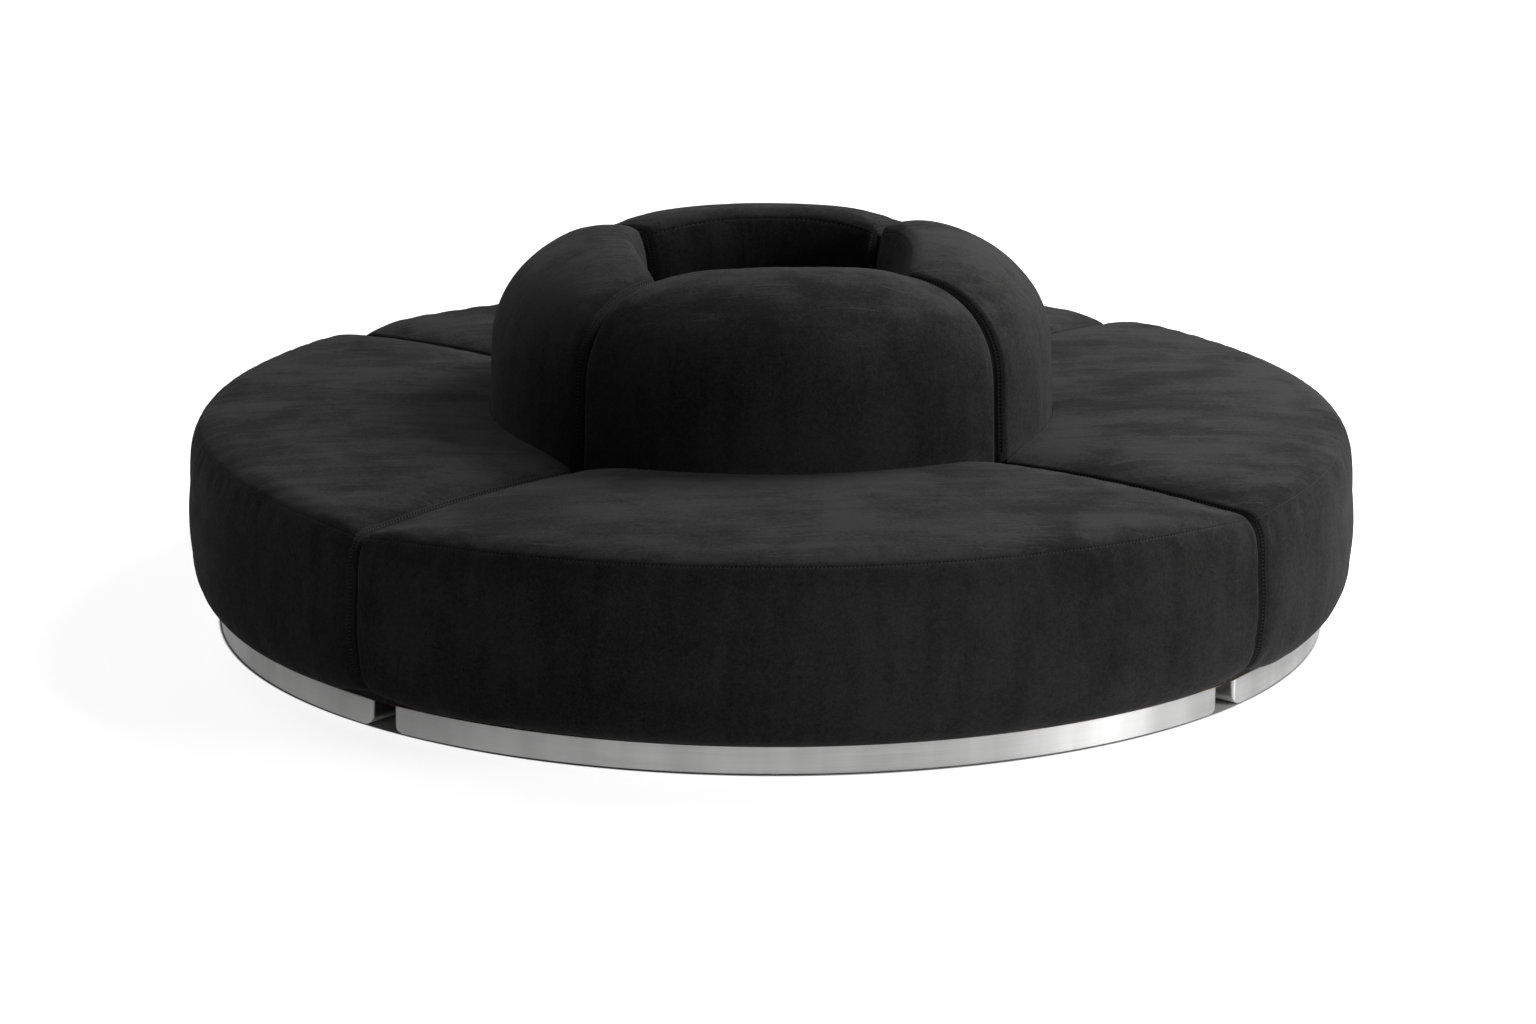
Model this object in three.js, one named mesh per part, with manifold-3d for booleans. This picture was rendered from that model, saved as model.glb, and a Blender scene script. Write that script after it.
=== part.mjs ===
import * as THREE from "three";
import { mergeVertices } from "three/addons/utils/BufferGeometryUtils.js";
import Module from "manifold-3d";

// A round sofa of four equal quarters around an open well, in millimetres, +Z up, standing on z = 0.
// Each quarter is drawn facing -Y and then turned into its place.

// Whole sofa
const RADIUS = 1300; // centre to the middle of an outer wall
const SEAT_HEIGHT = 456; // at the radial sides, beside the backrest
const BACK_HEIGHT = 833; // at the radial sides
const SIDE_GAP = 20; // between the upholstery of neighbouring quarters
const FIT = 0.3; // between pieces that rest on each other
const SOFT_FIT = 0.5; // between upholstery and what it covers

// Every outline is an arc flatter than a circle about the centre: its own centre lies this far behind
const OUTER_SETBACK = 130;
const BACK_SETBACK = 80;
const WELL_SETBACK = 546;
const PLINTH_SETBACK = 20;

// Each quarter is fuller in its middle than at its radial sides
const SEAT_BOW = 10; // rise of the seat
const SEAT_BOW_FROM = 250; // level at which the rise begins
const SEAT_BOW_POWER = 3;
const BACK_BOW = 19; // rise of the backrest
const BACK_BOW_FROM = 600;
const BACK_BOW_POWER = 2;
const FOOT_LIFT = 15; // rise of the lower edge of the front towards the sides
const FOOT_LIFT_UPTO = 300; // level at which it has faded
const FOOT_LIFT_POWER = 2;

// Plinth and base
const PLINTH_RECESS = 57; // from the outer wall to the steel
const PLINTH_INSET = 56; // from the well face of the backrest to the steel
const PLINTH_HEIGHT = 60; // floor to the underside of the upholstery
const PLINTH_LIFT = 3; // shadow gap under the steel
const PLINTH_GAP = 60; // between neighbouring plinths
const PLINTH_WALL = 2;
const PLINTH_CORNER = 12;
const BASE_BOARD = 18;
const GLIDE_RADIUS = 24;
const GLIDE_EDGE = 95; // from the steel to the axis of a glide

// Upholstered seat
const CUSHION_THICKNESS = 150;
const SEAT_CROWN = 10;
const TOP_CORNER_REACH = 95;
const TOP_CORNER_DROP = 140;
const TOP_SEAM_DROP = 21; // seam below the level of the seat's outer end
const FOOT_CORNER_REACH = 66;
const FOOT_CORNER_RISE = 112;
const WALL_BULGE = 5;
const EDGE_ROUND = 15; // along the two radial edges
const SIDE_DRAW = 5; // how far the surface is drawn in towards a radial edge
const SIDE_REACH = 150; // over this width
const BORDER_PAD = 80;
const SIDE_PAD = 12;
const TOP_FULLNESS = 3.3; // exponents of the corner curves: 2 is an ellipse, more is fuller
const FOOT_FULLNESS = 2.1;

// Timber inside the seat
const DECK = 15;
const RAIL = 18;

// Backrest
const BACK_FACE = 632; // centre to its outer face at the seat
const BACK_LEAN = 8; // how far the outer face leans in up to its curve
const BACK_ROLL_REACH = 290;
const BACK_ROLL_DROP = 222;
const BACK_FULLNESS = 2.06;
const WELL_EDGE_REACH = 47;
const WELL_EDGE_DROP = 170;
const WELL_FULLNESS = 2.3;
const BACK_EDGE_ROUND = 20;
const PANEL = 18;
const PANEL_FACE = 438; // centre to the outer face of the back frame
const PANEL_TOP_COVER = 95; // padding over the back frame's top
const PANEL_FIT = 0.8; // between the back frame and the seat's timber
const PANEL_END_COVER = 26; // padding over its two ends

// Links between quarters
const LINK_RECESS = 400; // from the outer wall to the middle of a link
const LINK_WIDTH = 60;
const LINK_STEEL = 4;
const LINK_CLEARANCE = 3; // from the hook to the plane between two quarters
const LINK_PLAY = 0.5; // between a hook and its catch
const LINK_TOP_COVER = 4; // below the upholstery
const LINK_HOOK = 22;
const LINK_FLOOR = 14; // floor to the catch plate

// Number of steps in the drawn curves
const CORNER_STEPS = 6;
const TOP_STEPS = 3;
const WALL_STEPS = 2;
const BAY_STEPS = 10;
const FILLET_STEPS = 3;
const GLIDE_SIDES = 16;
const RIBS = 2;
const FLAT_TURN = Math.PI * 0.75; // an outline corner more open than this stays as it is
const MERGE_DISTANCE = 0.0001;

const HALF_BAY = Math.PI / 4;
const QUARTERS = [
  { name: "front", turn: 0, link: "catch", neighbours: ["left", "right"] },
  { name: "right", turn: Math.PI / 2, link: "hook", neighbours: ["front", "rear"] },
  { name: "rear", turn: Math.PI, link: "catch", neighbours: ["right", "left"] },
  { name: "left", turn: -Math.PI / 2, link: "hook", neighbours: ["rear", "front"] },
];

const wasm = await Module();
wasm.setup();

const velvet = () => new THREE.MeshStandardMaterial({ color: 0x262626, roughness: 0.95, metalness: 0 });
const steel = () => new THREE.MeshStandardMaterial({ color: 0xb4b5b6, roughness: 0.3, metalness: 1 });
const plywood = () => new THREE.MeshStandardMaterial({ color: 0xc9a877, roughness: 0.7, metalness: 0 });
const nylon = () => new THREE.MeshStandardMaterial({ color: 0x1b1b1c, roughness: 0.5, metalness: 0 });
const zinc = () => new THREE.MeshStandardMaterial({ color: 0x8d9093, roughness: 0.45, metalness: 1 });

// Derived levels and radii
const wellFace = BACK_FACE - BACK_LEAN - BACK_ROLL_REACH - WELL_EDGE_REACH;
const deckTop = SEAT_HEIGHT - CUSHION_THICKNESS;
const seamLevel = SEAT_HEIGHT - TOP_SEAM_DROP;
const borderInside = RADIUS - BORDER_PAD;
const side = SIDE_GAP / 2;
const plinthInner = wellFace + PLINTH_INSET;
const plinthOuter = RADIUS - PLINTH_RECESS;
const plinthSide = PLINTH_GAP / 2;
const baseTop = PLINTH_HEIGHT - FIT;
const linkRadius = RADIUS - LINK_RECESS;

const lerp = THREE.MathUtils.lerp;
const hump = (share) => 4 * share * (1 - share);
const mapShare = (value, from, to) => THREE.MathUtils.clamp((value - from) / (to - from), 0, 1);

// How far behind the sofa's centre the arc through a given radius has its own centre
function setbackOf(radius) {
  if (radius < BACK_FACE) return lerp(WELL_SETBACK, BACK_SETBACK, mapShare(radius, wellFace, BACK_FACE));
  return lerp(BACK_SETBACK, OUTER_SETBACK, mapShare(radius, BACK_FACE, RADIUS));
}

// An arc of a quarter: the radius on its middle line and the setback of its centre
const softArc = (radius) => ({ radius, setback: setbackOf(radius) });
const plinthArc = (radius) => ({ radius, setback: PLINTH_SETBACK });

const pointOnArc = (arc, angle) => {
  const reach = arc.radius + arc.setback;
  return new THREE.Vector2(reach * Math.sin(angle), arc.setback - reach * Math.cos(angle));
};

// Angle at which an arc meets the radial side of its quarter, a margin inside it
function sideAngle(arc, margin) {
  const cosine = (margin * Math.SQRT2 + arc.setback) / ((arc.radius + arc.setback) * Math.SQRT2);
  return Math.acos(cosine) - HALF_BAY;
}

// Plan outline between two arcs; from and to give the angle of each end on an arc
function bandOutline(innerArc, outerArc, from, to, steps) {
  const points = [];
  for (let i = 0; i <= steps; i++) {
    points.push(pointOnArc(outerArc, lerp(from(outerArc), to(outerArc), i / steps)));
  }
  for (let i = steps; i >= 0; i--) {
    points.push(pointOnArc(innerArc, lerp(from(innerArc), to(innerArc), i / steps)));
  }
  return points;
}

// Angles across a quarter that every full-width piece shares, so that neighbouring faces stay parallel
function anglesAcross(arc, margin) {
  const ends = [sideAngle(arc, margin), sideAngle(arc, side + SIDE_REACH / 2)];
  const bay = sideAngle(arc, side + SIDE_REACH);
  const angles = ends.map((angle) => -angle);
  for (let i = 0; i <= BAY_STEPS; i++) angles.push(lerp(-bay, bay, i / BAY_STEPS));
  return [...angles, ...ends.reverse()];
}

// Plan outline from side to side between two arcs, a margin inside the radial sides
function sideToSide(innerArc, outerArc, margin) {
  const outer = anglesAcross(outerArc, margin).map((angle) => pointOnArc(outerArc, angle));
  const inner = anglesAcross(innerArc, margin).map((angle) => pointOnArc(innerArc, angle));
  return [...outer, ...inner.reverse()];
}

// Replaces each sharp corner of an outline with an arc
function roundCorners(points, radius, steps) {
  const rounded = [];
  points.forEach((point, i) => {
    const before = points.at(i - 1).clone().sub(point).normalize();
    const after = points[(i + 1) % points.length].clone().sub(point).normalize();
    const turn = Math.acos(THREE.MathUtils.clamp(before.dot(after), -1, 1));
    if (turn > FLAT_TURN) {
      rounded.push(point);
      return;
    }
    const run = radius / Math.tan(turn / 2);
    const start = point.clone().addScaledVector(before, run);
    const end = point.clone().addScaledVector(after, run);
    for (let k = 0; k <= steps; k++) {
      const t = k / steps;
      const first = start.clone().lerp(point, t);
      rounded.push(first.lerp(point.clone().lerp(end, t), t));
    }
  });
  return rounded;
}

// Upright plate with the given plan outline between two levels
function plate(outline, low, high, holes = []) {
  const shape = new THREE.Shape(outline);
  holes.forEach((hole) => shape.holes.push(new THREE.Path(hole)));
  const geometry = new THREE.ExtrudeGeometry(shape, { depth: high - low, bevelEnabled: false });
  return geometry.translate(0, 0, low);
}

// Profile point: radius, level, and the direction in which the surface is drawn in near a radial edge
const fixed = (radius, level) => ({ radius, level, inR: 0, inZ: 0, soft: 0 });
const drawn = (radius, level, inR, inZ) => ({ radius, level, inR, inZ, soft: 1 });

// Points of a rounded corner from its level end to its upright end, both between 0 and 1 of a quarter turn
function cornerPoints({ radius, level, reach, drop, fullness, from = 0, steps }) {
  const points = [];
  for (let i = 0; i <= steps; i++) {
    const turn = lerp(from, Math.PI / 2, i / steps);
    const along = Math.sin(turn) ** (2 / fullness);
    const down = 1 - Math.cos(turn) ** (2 / fullness);
    const r = radius + reach * along;
    const z = level - drop * down;
    points.push(drawn(r, z, -Math.sign(reach) * Math.sin(turn), -Math.sign(drop) * Math.cos(turn)));
  }
  return points;
}

// Stations across a quarter: near a side at a fixed margin from it, between them at even shares of the angle
function stationsAcross(edgeRound) {
  const edgeShares = [0, 0.12, 0.45, 1];
  const nearSide = edgeShares.map((share) => ({ margin: side + share * edgeRound, edge: share * edgeRound }));
  nearSide.push({ margin: side + SIDE_REACH / 2, edge: SIDE_REACH / 2 });
  const bay = [];
  for (let i = 0; i <= BAY_STEPS; i++) {
    bay.push({ margin: side + SIDE_REACH, edge: SIDE_REACH, share: lerp(-1, 1, i / BAY_STEPS) });
  }
  const left = nearSide.map((station) => ({ ...station, share: -1 }));
  const right = nearSide.map((station) => ({ ...station, share: 1 })).reverse();
  return [...left, ...bay, ...right];
}

// How far the surface lies inside its full profile at a distance from the radial edge
function drawAt(edge, edgeRound) {
  const t = 1 - Math.min(edge / edgeRound, 1);
  const round = edgeRound * (1 - Math.sqrt(1 - t * t));
  return round + SIDE_DRAW * (1 - Math.min(edge / SIDE_REACH, 1)) ** 2;
}

// Rises of the surface at a level; across runs from -1 at one radial side to 1 at the other
function seatRise(level, across) {
  const full = SEAT_BOW * (1 - Math.abs(across) ** SEAT_BOW_POWER) * mapShare(level, SEAT_BOW_FROM, SEAT_HEIGHT);
  return full + FOOT_LIFT * across ** 2 * mapShare(level, FOOT_LIFT_UPTO, PLINTH_HEIGHT) ** FOOT_LIFT_POWER;
}

function backRise(level, across) {
  const top = BACK_HEIGHT - BACK_BOW;
  return BACK_BOW * (1 - Math.abs(across) ** BACK_BOW_POWER) * mapShare(level, BACK_BOW_FROM, top);
}

// Closed soft body: a closed profile of radius and level carried across the quarter
function softBody(outline, edgeRound, rise) {
  const flatten = (points) => points.map((point) => new THREE.Vector2(point.radius, point.level));
  const profile = THREE.ShapeUtils.isClockWise(flatten(outline)) ? outline.toReversed() : outline;
  const stations = stationsAcross(edgeRound);
  const positions = [];
  stations.forEach((station) => {
    const draw = drawAt(station.edge, edgeRound);
    profile.forEach((point) => {
      const arc = { radius: point.radius + draw * point.inR, setback: setbackOf(point.radius) };
      const angle = station.share * sideAngle(arc, station.margin);
      const place = pointOnArc(arc, angle);
      const lift = point.soft * rise(point.level, angle / sideAngle(arc, side));
      positions.push(place.x, place.y, point.level + draw * point.inZ + lift);
    });
  });
  const count = profile.length;
  const indices = [];
  for (let s = 0; s < stations.length - 1; s++) {
    for (let p = 0; p < count; p++) {
      const q = (p + 1) % count;
      const a = s * count + p;
      const b = s * count + q;
      indices.push(a, a + count, b, b, a + count, b + count);
    }
  }
  const last = (stations.length - 1) * count;
  THREE.ShapeUtils.triangulateShape(flatten(profile), []).forEach(([a, b, c]) => {
    indices.push(a, b, c);
    indices.push(last + a, last + c, last + b);
  });
  const geometry = new THREE.BufferGeometry();
  geometry.setAttribute("position", new THREE.Float32BufferAttribute(positions, 3));
  geometry.setIndex(indices);
  geometry.computeVertexNormals();
  return geometry;
}

// Closed solid from a geometry, with its faces turned outwards
function solidOf(geometry) {
  const bare = geometry.clone();
  bare.deleteAttribute("normal");
  if (bare.getAttribute("uv")) bare.deleteAttribute("uv");
  const merged = mergeVertices(bare, MERGE_DISTANCE);
  const mesh = new wasm.Mesh({
    numProp: 3,
    vertProperties: merged.attributes.position.array,
    triVerts: new Uint32Array(merged.index.array),
  });
  return new wasm.Manifold(mesh);
}

function cut(body, tool) {
  const mesh = solidOf(body).subtract(solidOf(tool)).getMesh();
  const geometry = new THREE.BufferGeometry();
  geometry.setAttribute("position", new THREE.Float32BufferAttribute(mesh.vertProperties, 3));
  geometry.setIndex([...mesh.triVerts]);
  geometry.computeVertexNormals();
  return geometry;
}

// Level of the crowned seat top at a radius
function seatTop(radius) {
  const share = mapShare(radius, BACK_FACE, RADIUS - TOP_CORNER_REACH);
  return SEAT_HEIGHT + SEAT_CROWN * hump(share);
}

// The outer top corner, split at the seam
const seamTurn = Math.acos((1 - TOP_SEAM_DROP / TOP_CORNER_DROP) ** (TOP_FULLNESS / 2));
const topCorner = { radius: RADIUS - TOP_CORNER_REACH, level: SEAT_HEIGHT, fullness: TOP_FULLNESS };
const seamRadius = topCorner.radius + TOP_CORNER_REACH * Math.sin(seamTurn) ** (2 / TOP_FULLNESS);

function seatCushion() {
  const profile = [];
  const start = BACK_FACE + SOFT_FIT;
  for (let i = 0; i <= TOP_STEPS; i++) {
    const radius = lerp(start, topCorner.radius, i / TOP_STEPS);
    profile.push(drawn(radius, seatTop(radius), 0, -1));
  }
  for (let i = 1; i <= TOP_STEPS; i++) {
    const turn = (seamTurn * i) / TOP_STEPS;
    const radius = topCorner.radius + TOP_CORNER_REACH * Math.sin(turn) ** (2 / TOP_FULLNESS);
    const level = SEAT_HEIGHT - TOP_CORNER_DROP * (1 - Math.cos(turn) ** (2 / TOP_FULLNESS));
    profile.push(drawn(radius, level, 0, -1));
  }
  profile.push(fixed(seamRadius, deckTop + SOFT_FIT));
  profile.push(fixed(start, deckTop + SOFT_FIT));
  return softBody(profile, EDGE_ROUND, seatRise);
}

function frontBorder() {
  const wallTop = SEAT_HEIGHT - TOP_CORNER_DROP;
  const wallFoot = PLINTH_HEIGHT + FOOT_CORNER_RISE;
  const profile = [];
  const top = cornerPoints({
    ...topCorner, reach: TOP_CORNER_REACH, drop: TOP_CORNER_DROP, from: seamTurn, steps: CORNER_STEPS - 1,
  });
  top.forEach((point) => profile.push({ ...point, radius: point.radius + SOFT_FIT }));
  profile[0] = drawn(seamRadius + SOFT_FIT, seamLevel, 0, -1);
  for (let i = 1; i <= WALL_STEPS; i++) {
    const share = i / (WALL_STEPS + 1);
    const radius = RADIUS + SOFT_FIT + WALL_BULGE * hump(share);
    profile.push(drawn(radius, lerp(wallTop, wallFoot, share), -1, 0));
  }
  const foot = cornerPoints({
    radius: RADIUS - FOOT_CORNER_REACH + SOFT_FIT, level: PLINTH_HEIGHT, reach: FOOT_CORNER_REACH,
    drop: -FOOT_CORNER_RISE, fullness: FOOT_FULLNESS, steps: CORNER_STEPS,
  });
  foot.reverse().forEach((point) => profile.push(point));
  profile.push(fixed(borderInside, PLINTH_HEIGHT));
  profile.push(fixed(borderInside, deckTop));
  profile.push(fixed(seamRadius + SOFT_FIT, deckTop));
  return softBody(profile, EDGE_ROUND, seatRise);
}

// The backrest: padding outside and over the back frame, and a thinner pad down its well side to the plinth
function backCushion() {
  const crest = BACK_FACE - BACK_LEAN - BACK_ROLL_REACH;
  const sitsOn = deckTop + SOFT_FIT;
  const profile = [drawn(BACK_FACE, sitsOn, -1, 0), drawn(BACK_FACE, SEAT_HEIGHT, -1, 0)];
  const roll = cornerPoints({
    radius: crest, level: BACK_HEIGHT, reach: BACK_ROLL_REACH, drop: BACK_ROLL_DROP,
    fullness: BACK_FULLNESS, steps: CORNER_STEPS + TOP_STEPS,
  });
  roll.reverse().forEach((point) => profile.push(point));
  const wellEdge = cornerPoints({
    radius: crest, level: BACK_HEIGHT, reach: -WELL_EDGE_REACH, drop: WELL_EDGE_DROP,
    fullness: WELL_FULLNESS, steps: CORNER_STEPS,
  });
  wellEdge.slice(1).forEach((point) => profile.push(point));
  profile.push(drawn(wellFace, PLINTH_HEIGHT, 1, 0));
  profile.push(fixed(PANEL_FACE - PANEL - SOFT_FIT, PLINTH_HEIGHT));
  profile.push(fixed(PANEL_FACE - PANEL - SOFT_FIT, sitsOn));
  const slot = plate(panelOutline(SOFT_FIT), PLINTH_HEIGHT, panelTop + SOFT_FIT);
  return cut(softBody(profile, BACK_EDGE_ROUND, backRise), slot);
}

const panelTop = BACK_HEIGHT - PANEL_TOP_COVER;

// Plan outline of the back frame, grown by a clearance
function panelOutline(clearance) {
  const inner = softArc(PANEL_FACE - PANEL - clearance);
  const outer = softArc(PANEL_FACE + clearance);
  return sideToSide(inner, outer, side + PANEL_END_COVER - clearance);
}

const backFrame = () => plate(panelOutline(0), PLINTH_HEIGHT, panelTop);

// Padded panel over one radial side of the seat frame; sign is -1 for the left side and 1 for the right
function sideBorder(sign) {
  const ends = [softArc(PANEL_FACE - PANEL), softArc(borderInside - SOFT_FIT)];
  const corner = (arc, margin) => pointOnArc(arc, sign * sideAngle(arc, margin));
  const outline = [
    corner(ends[0], side), corner(ends[1], side), corner(ends[1], side + SIDE_PAD), corner(ends[0], side + SIDE_PAD),
  ];
  return plate(outline, PLINTH_HEIGHT, deckTop);
}

const frameSide = side + SIDE_PAD + SOFT_FIT;
const frameInner = PANEL_FACE + PANEL_FIT;
const frameOuter = borderInside - SOFT_FIT;
const deckUnder = deckTop - DECK;

const seatDeck = () =>
  plate(sideToSide(softArc(frameInner), softArc(frameOuter), frameSide), deckUnder, deckTop);

// Angle of one face of a rib, numbered across the quarter from its left side; edge is -1 or 1
function ribFace(index, edge) {
  return (arc) => {
    const share = lerp(-1, 1, index / (RIBS + 1));
    return share * sideAngle(arc, frameSide) + edge * Math.asin(RAIL / 2 / (arc.radius + arc.setback));
  };
}

function seatFrame() {
  const outline = sideToSide(softArc(frameInner), softArc(frameOuter), frameSide);
  const bays = [];
  for (let bay = 0; bay <= RIBS; bay++) {
    const left = bay === 0 ? (arc) => -sideAngle(arc, frameSide + RAIL) : ribFace(bay, 1);
    const right = bay === RIBS ? (arc) => sideAngle(arc, frameSide + RAIL) : ribFace(bay + 1, -1);
    const inner = softArc(frameInner + RAIL);
    const outer = softArc(frameOuter - RAIL);
    bays.push(bandOutline(inner, outer, left, right, FILLET_STEPS));
  }
  return plate(outline, PLINTH_HEIGHT, deckUnder - FIT, bays);
}

// Plan outline of the plinth, a distance inside its outer face
function plinthOutline(inset) {
  const inner = softArc(plinthInner + inset);
  const outer = plinthArc(plinthOuter - inset);
  return roundCorners(sideToSide(inner, outer, plinthSide + inset), PLINTH_CORNER - inset, FILLET_STEPS);
}

// The steel skirt: a closed band round the base board
const plinth = () => plate(plinthOutline(0), PLINTH_LIFT, baseTop, [plinthOutline(PLINTH_WALL)]);

const baseBoard = () => plate(plinthOutline(PLINTH_WALL + FIT), baseTop - BASE_BOARD, baseTop);

// Places of the glides under a quarter: two at the outer corners, one at the inner end
function glidePlaces() {
  const outer = plinthArc(plinthOuter - GLIDE_EDGE);
  const inner = plinthArc(plinthInner + GLIDE_EDGE);
  const angle = sideAngle(outer, plinthSide + GLIDE_EDGE);
  return [pointOnArc(outer, -angle), pointOnArc(outer, angle), pointOnArc(inner, 0)];
}

function glide(place) {
  const height = baseTop - BASE_BOARD - FIT;
  const geometry = new THREE.CylinderGeometry(GLIDE_RADIUS, GLIDE_RADIUS, height, GLIDE_SIDES);
  geometry.rotateX(Math.PI / 2);
  return geometry.translate(place.x, place.y, height / 2);
}

// Catch plate: reaches from its own plinth under the neighbour's hook and turns up
function catchOutline() {
  const foot = plinthSide - FIT;
  const lipNear = LINK_CLEARANCE + LINK_STEEL + LINK_PLAY;
  const lipFar = lipNear + LINK_STEEL;
  const top = linkTop - LINK_STEEL - LINK_PLAY;
  return [
    [-foot, LINK_FLOOR], [lipFar, LINK_FLOOR], [lipFar, top], [lipNear, top],
    [lipNear, LINK_FLOOR + LINK_STEEL], [LINK_STEEL - foot, LINK_FLOOR + LINK_STEEL],
    [LINK_STEEL - foot, linkTop], [-foot, linkTop],
  ];
}

const linkTop = PLINTH_HEIGHT - LINK_TOP_COVER;

// Hook plate: reaches from its own plinth over the neighbour's catch and turns down
function hookOutline() {
  const foot = plinthSide - FIT;
  const lipFar = -LINK_CLEARANCE;
  const lipNear = lipFar - LINK_STEEL;
  const under = linkTop - LINK_STEEL;
  return [
    [-foot, LINK_FLOOR], [LINK_STEEL - foot, LINK_FLOOR], [LINK_STEEL - foot, under], [lipNear, under],
    [lipNear, linkTop - LINK_HOOK], [lipFar, linkTop - LINK_HOOK], [lipFar, linkTop], [-foot, linkTop],
  ];
}

// A link plate on one radial side: its outline is drawn outwards from the side and upwards
function linkPlate(outline, sign) {
  const shape = new THREE.Shape(outline.map(([out, up]) => new THREE.Vector2(out, up)));
  const geometry = new THREE.ExtrudeGeometry(shape, { depth: LINK_WIDTH, bevelEnabled: false });
  geometry.translate(0, 0, -LINK_WIDTH / 2);
  const outward = new THREE.Vector3(sign * Math.cos(HALF_BAY), Math.sin(HALF_BAY), 0);
  const up = new THREE.Vector3(0, 0, 1);
  const along = new THREE.Vector3().crossVectors(outward, up);
  const place = new THREE.Matrix4().makeBasis(outward, up, along);
  place.setPosition(sign * linkRadius * Math.sin(HALF_BAY), -linkRadius * Math.cos(HALF_BAY), 0);
  return geometry.applyMatrix4(place);
}

const outlineOf = { catch: catchOutline, hook: hookOutline };

function addPiece(group, name, geometry, material) {
  const mesh = new THREE.Mesh(geometry, material);
  mesh.name = name;
  group.add(mesh);
}

function quarter({ name, turn, link, neighbours }) {
  const group = new THREE.Group();
  addPiece(group, `seat_cushion_${name}`, seatCushion(), velvet());
  addPiece(group, `front_border_${name}`, frontBorder(), velvet());
  addPiece(group, `side_border_${name}_a`, sideBorder(-1), velvet());
  addPiece(group, `side_border_${name}_b`, sideBorder(1), velvet());
  addPiece(group, `back_cushion_${name}`, backCushion(), velvet());
  addPiece(group, `seat_deck_${name}`, seatDeck(), plywood());
  addPiece(group, `seat_frame_${name}`, seatFrame(), plywood());
  addPiece(group, `back_frame_${name}`, backFrame(), plywood());
  addPiece(group, `base_board_${name}`, baseBoard(), plywood());
  addPiece(group, `plinth_${name}`, plinth(), steel());
  glidePlaces().forEach((place, i) => addPiece(group, `glide_${name}_${i + 1}`, glide(place), nylon()));
  neighbours.forEach((neighbour, i) => {
    const sign = i === 0 ? -1 : 1;
    addPiece(group, `${link}_plate_${name}_${neighbour}`, linkPlate(outlineOf[link](), sign), zinc());
  });
  group.rotation.z = turn;
  return group;
}

const sofa = new THREE.Group();
QUARTERS.forEach((place) => sofa.add(quarter(place)));

export default sofa;
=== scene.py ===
"""Looks of a round sofa: four upholstered quarters on steel plinths around an open well.

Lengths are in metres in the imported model's frame: +Z up, the floor at z = 0. Each quarter is drawn
facing -Y and then turned into its place.
"""

import logging
import math
from dataclasses import dataclass, field
from enum import Enum
from typing import Any, Callable, Optional, Sequence, Union

import bmesh
import bpy
import numpy as np
from bpy.types import ID, Material, Mesh, NodeSocket, Object
from mathutils import Matrix, Vector, noise


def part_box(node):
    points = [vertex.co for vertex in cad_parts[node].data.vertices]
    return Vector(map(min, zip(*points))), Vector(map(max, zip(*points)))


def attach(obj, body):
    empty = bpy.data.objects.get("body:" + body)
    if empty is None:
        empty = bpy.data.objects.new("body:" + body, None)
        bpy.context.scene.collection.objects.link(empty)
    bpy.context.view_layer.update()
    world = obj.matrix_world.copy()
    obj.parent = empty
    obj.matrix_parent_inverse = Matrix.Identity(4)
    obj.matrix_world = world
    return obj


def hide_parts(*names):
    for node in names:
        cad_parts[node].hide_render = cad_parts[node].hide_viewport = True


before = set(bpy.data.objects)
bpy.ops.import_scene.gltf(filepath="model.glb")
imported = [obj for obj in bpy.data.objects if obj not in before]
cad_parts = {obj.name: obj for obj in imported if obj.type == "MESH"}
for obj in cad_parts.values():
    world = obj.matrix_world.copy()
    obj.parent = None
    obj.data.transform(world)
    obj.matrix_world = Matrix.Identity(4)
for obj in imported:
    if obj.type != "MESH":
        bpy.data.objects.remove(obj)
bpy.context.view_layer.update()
LOG = logging.getLogger("round_sofa")
Array = np.ndarray
HALF_BAY = math.pi / 4
ROOT_TWO = math.sqrt(2.0)
WHITE = (1.0, 1.0, 1.0, 1.0)
DECIMALS = 6
SOFT_FIT = 0.0005
CUSHION = 0.150
CLOTH_MAP = "cloth"
SEAM_GAP = "seam_gap"
SEAM_RUN = "seam_run"
SIDE_GAP = "side_gap"
SEAM_FAR = 0.05


def front(node: str) -> float:
    """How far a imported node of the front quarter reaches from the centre, to the micrometre."""
    return round(-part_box(node)[0].y, DECIMALS)


def bottom(node: str) -> float:
    """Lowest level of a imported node, to the micrometre."""
    return round(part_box(node)[0].z, DECIMALS)


def top(node: str) -> float:
    """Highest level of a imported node, to the micrometre."""
    return round(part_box(node)[1].z, DECIMALS)


SEAT_LEVEL = top("seat_deck_front") + CUSHION


class Quarter(Enum):
    """A quarter of the sofa: its name, its turn from facing -Y, and the body it rides on."""

    FRONT = ("front", 0.0, "front_and_rear_quarters")
    RIGHT = ("right", math.pi / 2, "right_quarter")
    REAR = ("rear", math.pi, "front_and_rear_quarters")
    LEFT = ("left", -math.pi / 2, "left_quarter")

    def __init__(self, label: str, turn: float, body: str) -> None:
        """Keeps the three facts of a quarter under their names."""
        self.label = label
        self.turn = turn
        self.body = body


# Shaders


def arithmetic(operation: str, swapped: bool = False) -> Callable[..., "Sock"]:
    """Makes a method of Sock that adds a Math node.

    Args:
        operation: the node's operation.
        swapped: whether the socket comes after the other term.

    Returns:
        The method.
    """

    def method(self: "Sock", *others: Any) -> "Sock":
        """Adds the node and returns its result."""
        terms = (*others, self) if swapped else (self, *others)
        return self.recipe.add("ShaderNodeMath", {"operation": operation}, dict(enumerate(terms)))

    return method


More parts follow.
